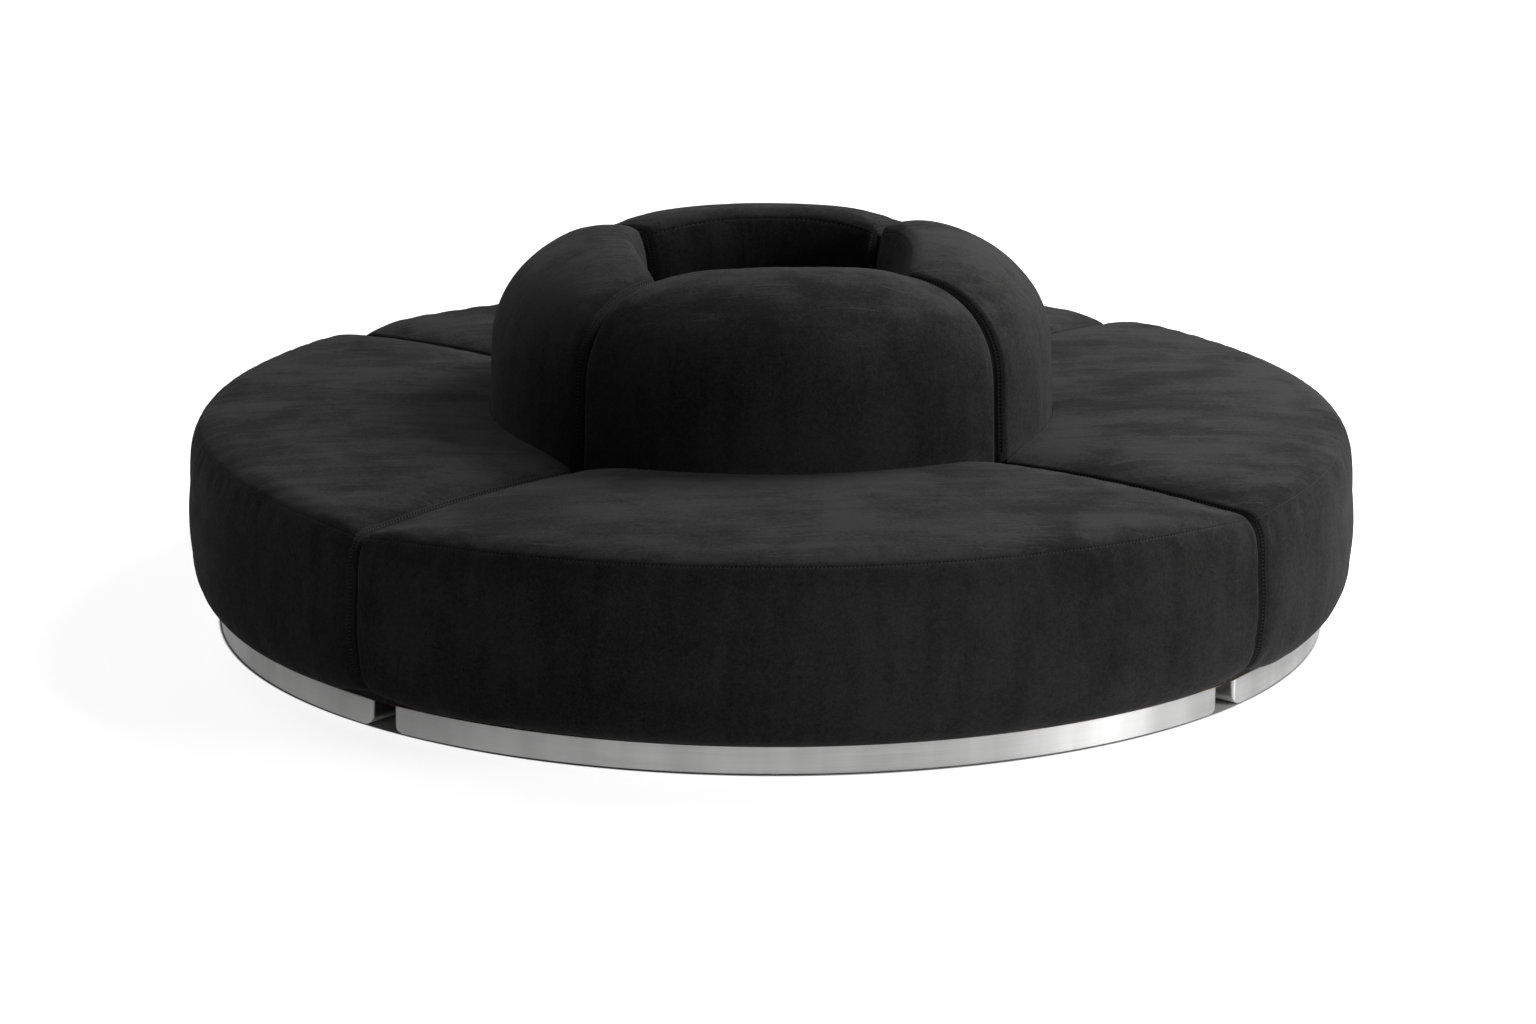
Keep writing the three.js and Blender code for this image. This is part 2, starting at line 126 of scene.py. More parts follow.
class Sock:
    """An output socket whose arithmetic adds Math nodes."""

    __add__ = arithmetic("ADD")
    __radd__ = arithmetic("ADD", swapped=True)
    __sub__ = arithmetic("SUBTRACT")
    __rsub__ = arithmetic("SUBTRACT", swapped=True)
    __mul__ = arithmetic("MULTIPLY")
    __rmul__ = arithmetic("MULTIPLY", swapped=True)
    __truediv__ = arithmetic("DIVIDE")
    __rtruediv__ = arithmetic("DIVIDE", swapped=True)
    fraction = arithmetic("FRACT")
    size = arithmetic("ABSOLUTE")
    most = arithmetic("MAXIMUM")

    def __init__(self, recipe: "Recipe", socket: NodeSocket) -> None:
        """Wraps a socket of a recipe's tree."""
        self.recipe = recipe
        self.socket = socket


Term = Union[Sock, float, Sequence[float]]


class Recipe:
    """The node tree of one material, or of the world."""

    def __init__(self, name: str, library: str = "materials") -> None:
        """Starts a material, or a world, with an empty tree."""
        self.owner = getattr(bpy.data, library).new(name)
        self.owner.use_nodes = True
        self.tree = self.owner.node_tree
        self.tree.nodes.clear()

    def add(
        self, kind: str, settings: Optional[dict] = None, sockets: Optional[dict] = None,
        output: Union[str, int] = 0,
    ) -> Optional[Sock]:
        """Adds a node.

        Args:
            kind: the node's type.
            settings: its properties, set before its sockets.
            sockets: values or links of its inputs, by name or place.
            output: the output that is returned, by name or place.

        Returns:
            The output, ready for arithmetic, or None where the node has no output.
        """
        node = self.tree.nodes.new(kind)
        for name, value in (settings or {}).items():
            setattr(node, name, value)
        for name, value in (sockets or {}).items():
            if isinstance(value, Sock):
                self.tree.links.new(value.socket, node.inputs[name])
            else:
                node.inputs[name].default_value = value
        return Sock(self, node.outputs[output]) if node.outputs else None

    def place(self, scale: Sequence[float] = (1.0, 1.0, 1.0)) -> Sock:
        """Object coordinates, scaled."""
        where = self.add("ShaderNodeTexCoord", output="Object")
        return self.add("ShaderNodeMapping", {}, {"Vector": where, "Scale": scale})

    def lay(self, scale: Sequence[float]) -> Sock:
        """The piece's own cloth coordinates in metres, scaled."""
        where = self.add("ShaderNodeUVMap", {"uv_map": CLOTH_MAP})
        return self.add("ShaderNodeMapping", {}, {"Vector": where, "Scale": scale})

    def part(self, vector: Sock, axis: str) -> Sock:
        """One coordinate of a vector."""
        return self.add("ShaderNodeSeparateXYZ", {}, {0: vector}, axis)

    def lift(self) -> Sock:
        """How far the surface faces up, from -1 to 1."""
        return self.part(self.add("ShaderNodeNewGeometry", output="Normal"), "Z")

    def value(self, attribute: str) -> Sock:
        """A number kept on the mesh."""
        return self.add("ShaderNodeAttribute", {"attribute_name": attribute}, output="Fac")

    def speckle(self, vector: Sock, scale: float, detail: float = 2.0, distortion: float = 0.0) -> Sock:
        """Soft noise between 0 and 1."""
        sockets = {"Vector": vector, "Scale": scale, "Detail": detail, "Distortion": distortion}
        return self.add("ShaderNodeTexNoise", {}, sockets)

    def ease(self, value: Sock, low: float, high: float, start: float = 0.0, end: float = 1.0) -> Sock:
        """Maps low..high smoothly to start..end, and holds beyond."""
        sockets = {"Value": value, "From Min": low, "From Max": high, "To Min": start, "To Max": end}
        return self.add("ShaderNodeMapRange", {"interpolation_type": "SMOOTHSTEP"}, sockets)

    def mix(self, share: Term, first: Term, second: Term) -> Sock:
        """Blends two colours."""
        return self.add("ShaderNodeMix", {"data_type": "RGBA"}, {0: share, 6: first, 7: second}, 2)

    def bump(self, height: Sock, strength: float, distance: float) -> Sock:
        """A normal bent by a height."""
        sockets = {"Height": height, "Strength": strength, "Distance": distance}
        return self.add("ShaderNodeBump", {}, sockets)

    def seen(self, mirrored: Term) -> Sock:
        """1 for the camera, straight or through glass, a share for what mirrors it, and else 0."""
        rays = (f"Is {kind} Ray" for kind in ("Camera", "Glossy", "Transmission"))
        camera, glossy, through = (self.add("ShaderNodeLightPath", output=ray) for ray in rays)
        return camera.most(glossy * mirrored).most(through)

    def surface(self, sockets: dict) -> Material:
        """Ends the tree in a principled surface and returns the material."""
        self.output(self.add("ShaderNodeBsdfPrincipled", {}, sockets))
        return self.owner

    def output(self, shader: Sock, kind: str = "ShaderNodeOutputMaterial") -> None:
        """Ends the tree in a shader."""
        self.add(kind, {}, {"Surface": shader})


@dataclass(frozen=True)
class Velvet:
    """Charcoal velvet: a short nap with brushed patches, fine grain and plain stitched seams."""

    deep: tuple = (0.0140, 0.0140, 0.0138, 1.0)
    # pale end of the nap tone; it also carries the painted light on the tops
    worn: tuple = (0.0385, 0.0385, 0.0380, 1.0)
    seam: tuple = (0.003, 0.003, 0.003, 1.0)
    thread: tuple = (0.120, 0.120, 0.121, 1.0)
    # pale colour of a painted highlight along the side edges, where the pile catches the light
    rubbed: tuple = (0.066, 0.066, 0.0655, 1.0)
    stitch: float = 0.0085
    stitch_fade: tuple = (0.0004, 0.0014)
    seam_fade: tuple = (0.0004, 0.0018)
    shade_fade: tuple = (0.0, 0.080)
    rubbed_fade: tuple = (0.002, 0.009)
    rubbed_start: tuple = (-0.006, -0.001)

    def build(self) -> Material:
        """Makes the material."""
        recipe = Recipe("velvet")
        place = recipe.place()
        patches = recipe.speckle(place, 3.0, 3.0, 0.6)
        clouds = recipe.speckle(place, 13.0, 5.0, 0.4)
        sweeps = recipe.speckle(recipe.place((2.2, 9.0, 9.0)), 1.0, 4.0, 0.5)
        streaks = recipe.speckle(recipe.place((6.0, 32.0, 32.0)), 1.0, 3.0, 0.6)
        pulls = recipe.speckle(recipe.lay((20.0, 3.0, 1.0)), 1.0, 4.0, 0.6)
        threads = recipe.speckle(recipe.lay((60.0, 8.0, 1.0)), 1.0, 3.0, 0.2)
        tufts = recipe.speckle(place, 95.0, 3.0)
        fuzz = recipe.speckle(place, 240.0, 4.0)
        grain = recipe.speckle(place, 700.0, 2.0)
        level = recipe.ease(recipe.lift(), 0.3, 0.9)
        swept = (sweeps * 0.26 + streaks * 0.18 - 0.22) * level * 4.6
        pulled_down = (pulls - 0.5) * (1.0 - level) * 0.8
        mottled = (patches * 0.40 + clouds * 0.18 - 0.29) * (level * 3.2 + 3.2)
        fine = (tufts - 0.5) * 0.8 + (fuzz - 0.5) * 1.3 + (grain - 0.5) * 0.6
        folded = recipe.speckle(recipe.place((8.0, 62.0, 62.0)), 1.0, 3.0, 0.9)
        creases = recipe.ease(folded, 0.61, 0.70) * level
        side = recipe.value(SIDE_GAP)
        shaded = recipe.ease(side, *self.shade_fade, 0.34, 0.0) * level
        # painted light: faces turned up are made lighter (level * 0.16), and the painted shade near the sides
        # is taken off
        nap = swept + pulled_down + mottled + fine + level * 0.16 + creases * 0.35 - shaded
        colour = recipe.mix(nap + 0.5, self.deep, self.worn)
        gap = recipe.value(SEAM_GAP)
        line = recipe.ease(gap, *self.seam_fade, 1.0, 0.0)
        beat = (recipe.value(SEAM_RUN) / self.stitch).fraction()
        pulled = recipe.ease((beat - 0.5).size(), 0.20, 0.32, 1.0, 0.0)
        stitch = pulled * recipe.ease(gap, *self.stitch_fade, 1.0, 0.0)
        # painted highlight: a pale band up to 9 mm inside each side edge, where the pile catches the light;
        # it stops short of the end caps past the side
        rubbed = recipe.ease(side, *self.rubbed_fade, 0.55, 0.0) * recipe.ease(side, *self.rubbed_start)
        colour = recipe.mix(rubbed, colour, self.rubbed)
        colour = recipe.mix(line * 0.72, colour, self.seam)
        # pale stitch dots on each seam: real thread, painted lighter than it is as a painted highlight on
        # each stitch
        colour = recipe.mix(stitch * 0.55, colour, self.thread)
        height = grain * 0.35 + fuzz * 0.7 + clouds * 0.45 + threads * 0.4
        height = height - line * 0.9 + stitch * 0.5 + creases * 1.1
        return recipe.surface({
            "Base Color": colour,
            "Roughness": recipe.ease(nap, -0.4, 0.4, 0.96, 0.84),
            "Specular IOR Level": 0.10,
            "Sheen Weight": 0.04,
            "Sheen Roughness": 0.40,
            "Sheen Tint": (0.62, 0.62, 0.63, 1.0),
            "Normal": recipe.bump(height, 0.60, 0.0010),
        })


@dataclass(frozen=True)
class BrushedSteel:
    """Stainless sheet brushed round the sofa."""

    pale: tuple = (0.69, 0.688, 0.684, 1.0)
    dull: tuple = (0.36, 0.359, 0.357, 1.0)

    def build(self) -> Material:
        """Makes the material."""
        recipe = Recipe("brushed_steel")
        lines = recipe.speckle(recipe.place((3.0, 3.0, 700.0)), 1.0, 4.0)
        bands = recipe.speckle(recipe.place((4.0, 4.0, 170.0)), 1.0, 3.0)
        smudge = recipe.speckle(recipe.place(), 9.0, 4.0, 0.6)
        # painted reflection: broad upright bands of lighter and darker steel that stand in for reflected
        # studio light
        painted_reflection_bands = recipe.ease(recipe.speckle(recipe.place((8.0, 8.0, 0.5)), 1.0, 3.0), 0.32, 0.68)
        colour = recipe.mix(lines * 0.4 + bands * 0.15 + smudge * 0.1 + painted_reflection_bands * 0.35, self.dull, self.pale)
        return recipe.surface({
            "Base Color": colour,
            "Metallic": 1.0,
            "Roughness": recipe.ease(bands * 0.5 + smudge * 0.5, 0.3, 0.7, 0.44, 0.54),
            "Anisotropic": 0.9,
            "Anisotropic Rotation": 0.25,
            "Normal": recipe.bump(lines + bands * 0.6, 0.30, 0.0003),
        })


@dataclass(frozen=True)
class Plywood:
    """Birch plywood: long grain on the faces and thin plies on the edges."""

    pale: tuple = (0.56, 0.40, 0.24, 1.0)
    brown: tuple = (0.34, 0.21, 0.11, 1.0)
    ply: float = 0.0015

    def build(self) -> Material:
        """Makes the material."""
        recipe = Recipe("birch_plywood")
        grain = recipe.speckle(recipe.place((60.0, 3.0, 60.0)), 1.0, 5.0, 1.2)
        pores = recipe.speckle(recipe.place((700.0, 40.0, 700.0)), 1.0, 2.0)
        height = recipe.part(recipe.place(), "Z")
        plies = recipe.ease(((height / (2 * self.ply)).fraction() - 0.5).size(), 0.2, 0.3)
        edge = recipe.ease(recipe.lift().size(), 0.3, 0.6, 1.0, 0.0)
        tone = grain * 0.6 + pores * 0.2 + plies * edge * 0.35
        return recipe.surface({
            "Base Color": recipe.mix(tone, self.pale, self.brown),
            "Roughness": recipe.ease(grain, 0.3, 0.7, 0.55, 0.75),
            "Normal": recipe.bump(grain + pores, 0.3, 0.0005),
        })


@dataclass(frozen=True)
class Nylon:
    """Black moulded nylon with a fine texture."""

    black: tuple = (0.010, 0.010, 0.011, 1.0)
    scuffed: tuple = (0.045, 0.045, 0.046, 1.0)

    def build(self) -> Material:
        """Makes the material."""
        recipe = Recipe("moulded_nylon")
        texture = recipe.speckle(recipe.place(), 1300.0, 2.0)
        scuffs = recipe.speckle(recipe.place(), 45.0, 5.0, 1.0)
        worn = recipe.ease(scuffs, 0.55, 0.72)
        return recipe.surface({
            "Base Color": recipe.mix(worn, self.black, self.scuffed),
            "Roughness": recipe.ease(scuffs, 0.4, 0.7, 0.42, 0.62),
            "Normal": recipe.bump(texture, 0.3, 0.0003),
        })


@dataclass(frozen=True)
class ZincPlate:
    """Zinc-plated steel with faint crystals and dull spots."""

    bright: tuple = (0.55, 0.56, 0.58, 1.0)
    grey: tuple = (0.33, 0.34, 0.36, 1.0)

    def build(self) -> Material:
        """Makes the material."""
        recipe = Recipe("zinc_plate")
        crystals = recipe.add("ShaderNodeTexVoronoi", {}, {"Vector": recipe.place(), "Scale": 160.0}, "Color")
        cell = recipe.part(crystals, "X")
        spots = recipe.speckle(recipe.place(), 60.0, 4.0, 0.5)
        return recipe.surface({
            "Base Color": recipe.mix(cell * 0.5 + spots * 0.5, self.bright, self.grey),
            "Metallic": 1.0,
            "Roughness": recipe.ease(cell * 0.4 + spots * 0.6, 0.2, 0.8, 0.30, 0.52),
            "Normal": recipe.bump(cell * 0.4 + spots, 0.15, 0.0003),
        })


# Plan of a quarter


@dataclass(frozen=True)
class Plan:
    """Arcs of a quarter, each flatter than a circle about the sofa's centre."""

    radius: float = 1.300
    back_face: float = front("back_cushion_front")
    well_face: float = 0.287
    outer_setback: float = 0.130
    back_setback: float = 0.080
    well_setback: float = 0.546
    side: float = 0.010
    side_reach: float = 0.150

    def setback(self, radius: Array) -> Array:
        """How far behind the sofa's centre an arc through a radius has its own centre."""
        known = (self.well_face, self.back_face, self.radius)
        return np.interp(radius, known, (self.well_setback, self.back_setback, self.outer_setback))

    def side_angle(self, radius: Array, setback: Array, margin: Array) -> Array:
        """Angle at which an arc comes within a margin of the radial side."""
        cosine = (margin * ROOT_TWO + setback) / ((radius + setback) * ROOT_TWO)
        return np.arccos(cosine) - HALF_BAY

    def point(self, radius: Array, setback: Array, angle: Array) -> tuple:
        """Plan position at an angle from the middle line on an arc with its centre set back."""
        reach = radius + setback
        return reach * np.sin(angle), setback - reach * np.cos(angle)

    def half_width(self, radius: float) -> float:
        """Length of half an arc between the radial sides."""
        setback = self.setback(radius)
        return float((radius + setback) * self.side_angle(radius, setback, self.side))


PLAN = Plan()


def corner(
    radius: float, level: float, reach: float, drop: float, fullness: float, steps: int = 60
) -> Array:
    """Rounded corner of a profile from its level end to its upright end.

    Args:
        radius: where the level end starts.
        level: its height.
        reach: how far out the corner goes.
        drop: how far down it goes.
        fullness: exponent of the curve, 2 for an ellipse.
        steps: number of steps.

    Returns:
        Rows of radius, level and the direction in which the surface is drawn in near a side.
    """
    turn = np.linspace(0.0, math.pi / 2, steps + 1)
    along = np.sin(turn) ** (2 / fullness)
    down = 1 - np.clip(np.cos(turn), 0.0, 1.0) ** (2 / fullness)
    draw_out = -np.sign(reach) * np.sin(turn)
    draw_up = -np.sign(drop) * np.cos(turn)
    return np.column_stack((radius + reach * along, level - drop * down, draw_out, draw_up))


def bar(*rows: Sequence[float]) -> Array:
    """Straight run of profile rows: radius, level and the draw's direction."""
    return np.array(rows, float)


def graded(length: float, fine: float, coarse: float, spots: Sequence[float], closed: bool = False) -> Array:
    """Positions along a length, close together near some spots.

    Args:
        length: the whole length.
        fine: the step at a spot.
        coarse: the largest step.
        spots: the places with the fine step.
        closed: whether the end meets the start and is left out.

    Returns:
        The positions in order.
    """
    samples, growth = 6000, 0.30
    where = np.linspace(0.0, length, samples)
    away = np.min(np.abs(where[:, None] - np.array(spots)[None, :]), axis=1)
    step = np.clip(growth * away, fine, coarse)
    count = np.concatenate(([0.0], np.cumsum(np.diff(where) * 2 / (step[1:] + step[:-1]))))
    number = max(int(math.ceil(count[-1])), 4)
    marks = np.arange(number if closed else number + 1) * count[-1] / number
    return np.interp(marks, count, where)


def cubic_weights(knots: Array, wanted: Array) -> Array:
    """Matrix that carries values at knots smoothly to other places.

    Args:
        knots: increasing places of the known values.
        wanted: places of the new values.

    Returns:
        One row per new value and one column per known value.
    """
    last = len(knots) - 1
    cell = np.clip(np.searchsorted(knots, wanted) - 1, 0, last - 1)
    t = np.clip((wanted - knots[cell]) / (knots[cell + 1] - knots[cell]), 0.0, 1.0)
    shares = (
        -0.5 * t + t**2 - 0.5 * t**3,
        1 - 2.5 * t**2 + 1.5 * t**3,
        0.5 * t + 2 * t**2 - 1.5 * t**3,
        -0.5 * t**2 + 0.5 * t**3,
    )
    weights = np.zeros((len(wanted), len(knots)))
    rows = np.arange(len(wanted))
    for offset, share in zip((-1, 0, 1, 2), shares):
        np.add.at(weights, (rows, np.clip(cell + offset, 0, last)), share)
    return weights


@dataclass
class Grid:
    """A lofted skin: rows across the quarter, each the same closed profile."""

    across: Array
    along: Array
    points: Array
    outward: float

    def normals(self) -> Array:
        """Outward directions at the points."""
        down = np.roll(self.points, -1, axis=1) - np.roll(self.points, 1, axis=1)
        over = np.gradient(self.points, axis=0)
        facing = np.cross(over, down) * self.outward
        length = np.linalg.norm(facing, axis=2, keepdims=True)
        return facing / np.maximum(length, 1e-12)

    def faces(self) -> list:
        """Quads of the skin, and the two ends."""
        rows, count = self.points.shape[:2]
        index = np.arange(rows * count).reshape(rows, count)
        after = np.roll(index, -1, axis=1)
        quads = np.stack((index[:-1], index[1:], after[1:], after[:-1]), axis=-1).reshape(-1, 4).tolist()
        loops = quads + [index[0].tolist(), index[-1][::-1].tolist()]
        return loops if self.outward > 0 else [loop[::-1] for loop in loops]

    def build(self, name: str, turn: float = 0.0) -> Object:
        """Makes an object of the skin, turned about the sofa's middle."""
        points = self.points @ np.array(Matrix.Rotation(turn, 3, "Z")).T
        mesh = bpy.data.meshes.new(name)
        mesh.from_pydata(points.reshape(-1, 3).tolist(), [], self.faces())
        return add_object(name, mesh)


@dataclass(frozen=True)
class Stuffing:
    """How a skin is blown up: the steps of its coarse cloth, what is held, and how far it may swell."""

    across_step: float = 0.010
    along_step: float = 0.012
    coarse_step: float = 0.024
    seam_hold: float = 0.010
    end_hold: float = 0.020
    side_hold: float = 0.004
    swell: float = 0.0025
    frames: int = 20


CLOTH = {
    "quality": 6,
    "mass": 0.3,
    "tension_stiffness": 12.0,
    "compression_stiffness": 12.0,
    "shear_stiffness": 4.0,
    "bending_stiffness": 1.5,
    "use_pressure": True,
    "uniform_pressure_force": 4.0,
    "shrink_min": -0.015,
}


@dataclass(frozen=True)
class Relief:
    """What seams and cloth add to a skin: depths, widths, and scales of the noise per metre."""

    groove: float = 0.0010
    groove_width: float = 0.0016
    edge: float = 0.0004
    edge_place: float = 0.0080
    edge_width: float = 0.0060
    pucker: float = 0.0008
    pucker_along: float = 55.0
    pucker_away: float = 30.0
    pucker_start: float = 0.003
    pucker_reach: float = 0.014
    ripple: float = 0.0008
    ripple_scale: tuple = (5.5, 5.5, 7.0)
    crease: float = 0.0006
    crease_scale: tuple = (17.0, 17.0, 21.0)
    fade: float = 0.030
    seed_step: float = 7.3


@dataclass
class Upholstery:
    """A stuffed skin over one part of a quarter."""

    finish: Material
    name: str = ""
    nodes: tuple = ()
    edge_round: float = 0.013
    top_round: float = 0.010
    side_draw: float = 0.004
    top_draw: float = 0.019
    draw_reach: float = 0.140
    gusset: float = 0.0018
    plump: float = 0.00998
    plump_reach: float = 0.022
    plump_steps: int = 8
    reference: float = PLAN.radius
    fine: float = 0.0011
    coarse: float = 0.013
    fine_along: float = 0.0013
    coarse_along: float = 0.012
    smooth_upto: float = 50.0
    fill: float = 0.85
    seed: float = 0.0
    stuffing: Stuffing = Stuffing()
    sewn: Relief = Relief()
    profile: Array = field(init=False)
    run: Array = field(init=False)
    outward: float = field(init=False)
    rest: Optional[Grid] = field(init=False, default=None)

    def __post_init__(self) -> None:
        """Draws the profile once."""
        profile = self.draw_profile()
        closed = np.vstack((profile, profile[:1]))
        length = np.hypot(np.diff(closed[:, 0]), np.diff(closed[:, 1]))
        self.profile = closed
        self.run = np.concatenate(([0.0], np.cumsum(length)))
        turning = closed[:-1, 0] * closed[1:, 1] - closed[1:, 0] * closed[:-1, 1]
        self.outward = float(np.sign(turning.sum()))

    def draw_profile(self) -> Array:
        """Rows of the closed profile, in order round it."""
        raise NotImplementedError

    def seams(self) -> Sequence[float]:
        """Places along the profile that carry a seam across the quarter."""
        raise NotImplementedError

    def shown(self) -> tuple:
        """Start and end of the part of the profile that can be seen."""
        raise NotImplementedError

    @property
    def half(self) -> float:
        """Half the skin's width, along its reference arc."""
        return PLAN.half_width(self.reference)

    def side_gap(self, across: Array) -> Array:
        """Distance to the nearer side, below zero past it."""
        return self.half - np.abs(across)

    def place_at(self, radius: float, level: float) -> float:
        """Place along the profile nearest to a point."""
        away = np.hypot(self.profile[:, 0] - radius, self.profile[:, 1] - level)
        return float(self.run[int(np.argmin(away))])

    def level_at(self, chosen: Array, level: float) -> float:
        """Place along the profile where its chosen points come nearest to a level."""
        index = np.flatnonzero(chosen)
        return float(self.run[index[int(np.argmin(np.abs(self.profile[index, 1] - level)))]])

    def rise(self, level: Array, across: Array) -> Array:
        """How far the surface stands above a level of its profile, at places from -1 to 1 across."""
        raise NotImplementedError

    def hidden_rows(self, rows: Array, along: Array, gap: Array) -> Array:
        """Profile rows at each distance from a side; pieces with a slot change them near their ends."""
        return np.broadcast_to(rows, (len(gap),) + rows.shape)

    def loft(self, across: Array, along: Array) -> Grid:
        """Carries the profile across the quarter.

        Args:
            across: signed distances from the middle line; those past the side run in over its end.
            along: places along the profile.

        Returns:
            The skin.
        """
        rows = np.column_stack([np.interp(along, self.run, self.profile[:, k]) for k in range(4)])
        gap = np.maximum(self.side_gap(across), 0.0)
        table = self.hidden_rows(rows, along, gap)
        over = np.maximum(-self.side_gap(across), 0.0)
        swollen = self.plump * np.sin(math.pi / 2 * over / self.plump_reach)
        margin = PLAN.side + np.minimum(gap, PLAN.side_reach) - swollen
        share = np.clip(across / (self.half - PLAN.side_reach), -1.0, 1.0)
        upright = table[..., 2] ** 2
        turn = self.top_round + (self.edge_round - self.top_round) * upright
        near = 1 - np.minimum(gap[:, None] / turn, 1.0)
        pull = self.top_draw + (self.side_draw - self.top_draw) * upright
        fade = 1 - np.minimum(gap[:, None] / self.draw_reach, 1.0)
        draw = turn * (1 - np.sqrt(1 - near**2)) + pull * fade**2 + over[:, None]
        radius = table[..., 0] + draw * table[..., 2]
        level = table[..., 1] + draw * table[..., 3]
        setback = PLAN.setback(table[..., 0])
        angle = share[:, None] * PLAN.side_angle(radius, setback, margin[:, None])
        x, y = PLAN.point(radius, setback, angle)
        soft = np.abs(table[..., 2:4]).max(axis=-1) > 0.0
        level = level + soft * self.rise(table[..., 1], angle / PLAN.side_angle(radius, setback, PLAN.side))
        return Grid(across, along, np.stack((x, y, level), axis=-1), self.outward)

    def seam_field(self, grid: Grid) -> tuple:
        """Distance to the nearest seam at each point, and the place along that seam."""
        side_gap = self.side_gap(grid.across)[:, None]
        past = np.maximum(self.gusset - side_gap, 0.0)
        lines = [(np.hypot(grid.along - seam, past), grid.across[:, None]) for seam in self.seams()]
        start, end = self.shown()
        shown = (grid.along >= start) & (grid.along <= end)
        lines.append((np.where(shown, np.abs(side_gap - self.gusset), 1.0), grid.along))
        gap = np.ones(grid.points.shape[:2])
        run = np.zeros_like(gap)
        for away, place in lines:
            closer = away < gap
            gap = np.where(closer, away, gap)
            run = np.where(closer, place, run)
        return gap, run

    def settle(self) -> tuple:
        """Blows the skin up as cloth held at its seams.

        Returns:
            The coarse skin and how far each of its points moved.
        """
        half, plan = self.half, self.stuffing
        across = graded(2 * half, plan.across_step, plan.coarse_step, (0.0, 2 * half)) - half
        along = graded(self.run[-1], plan.along_step, plan.coarse_step, self.seams(), closed=True)
        grid = self.loft(across, along)
        gap, _ = self.seam_field(grid)
        start, end = self.shown()
        held = (gap < plan.seam_hold) | (along < start + plan.end_hold) | (along > end - plan.end_hold)
        held |= (self.side_gap(across) < self.edge_round + plan.side_hold)[:, None]
        cloth = grid.build("cloth")
        mesh = cloth.data
        pins = cloth.vertex_groups.new(name="held")
        pins.add(np.flatnonzero(held.ravel()).tolist(), 1.0, "ADD")
        settings = cloth.modifiers.new("cloth", "CLOTH").settings
        for name, value in CLOTH.items():
            setattr(settings, name, value)
        settings.vertex_group_mass = pins.name
        settings.effector_weights.gravity = 0.0
        scene = bpy.context.scene
        for step in range(1, plan.frames + 1):
            scene.frame_set(step)
        view = cloth.evaluated_get(bpy.context.evaluated_depsgraph_get())
        moved = np.empty(len(mesh.vertices) * 3)
        view.data.vertices.foreach_get("co", moved)
        shift = moved.reshape(grid.points.shape) - grid.points
        shift[held] = 0.0
        size = np.linalg.norm(shift, axis=2, keepdims=True)
        LOG.info("%s: cloth moved %.1f mm at most", type(self).__name__, 1000 * float(size.max()))
        shift = shift * (plan.swell / (plan.swell + size))
        scene.frame_set(1)
        bpy.data.objects.remove(cloth)
        bpy.data.meshes.remove(mesh)
        return grid, shift

    def shape(self) -> Grid:
        """The finished skin of a quarter facing -Y, without its own folds."""
        if self.rest is None:
            half = self.half
            turns = (0.0, self.gusset, 2 * half - self.gusset, 2 * half)
            across = graded(2 * half, self.fine, self.coarse, turns)
            rounds = [ends_of(2 * half, reach) for reach in (self.edge_round, self.top_round)]
            past = np.linspace(0.0, self.plump_reach, self.plump_steps + 1)[1:]
            across = np.unique(np.concatenate((across, -past, 2 * half + past, *rounds))) - half
            spots = (*self.seams(), *self.shown())
            along = graded(self.run[-1], self.fine_along, self.coarse_along, spots, closed=True)
            grid = self.loft(across, along)
            coarse, shift = self.settle()
            wrap = np.concatenate((coarse.along, [self.run[-1]]))
            shift = np.concatenate((shift, shift[:, :1]), axis=1)
            over = cubic_weights(coarse.across, grid.across)
            down = cubic_weights(wrap, grid.along)
            grid.points = grid.points + np.einsum("ai,bj,ijk->abk", over, down, shift)
            self.rest = grid
        return self.rest

    def dress(self, quarter: Quarter) -> Object:
        """Builds the piece of one quarter.

        Args:
            quarter: the quarter that it covers.

        Returns:
            The finished object.
        """
        base = self.shape()
        gap, run = self.seam_field(base)
        relief = self.relief(base, gap, run, quarter)[..., None]
        skin = Grid(base.across, base.along, base.points + base.normals() * relief, base.outward)
        piece = skin.build(f"{self.name}_{quarter.label}", quarter.turn)
        flat = np.stack(np.broadcast_arrays(base.across[:, None], base.along), axis=-1)
        lay_cloth(piece.data, flat.reshape(-1, 2), gap, run, self.side_gap(base.across)[:, None])
        piece.data.materials.append(self.finish)
        smooth(piece, self.smooth_upto)
        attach(piece, quarter.body)
        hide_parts(*(node.format(quarter.label) for node in self.nodes))
        LOG.info("%s: %d faces", piece.name, len(piece.data.polygons))
        return piece

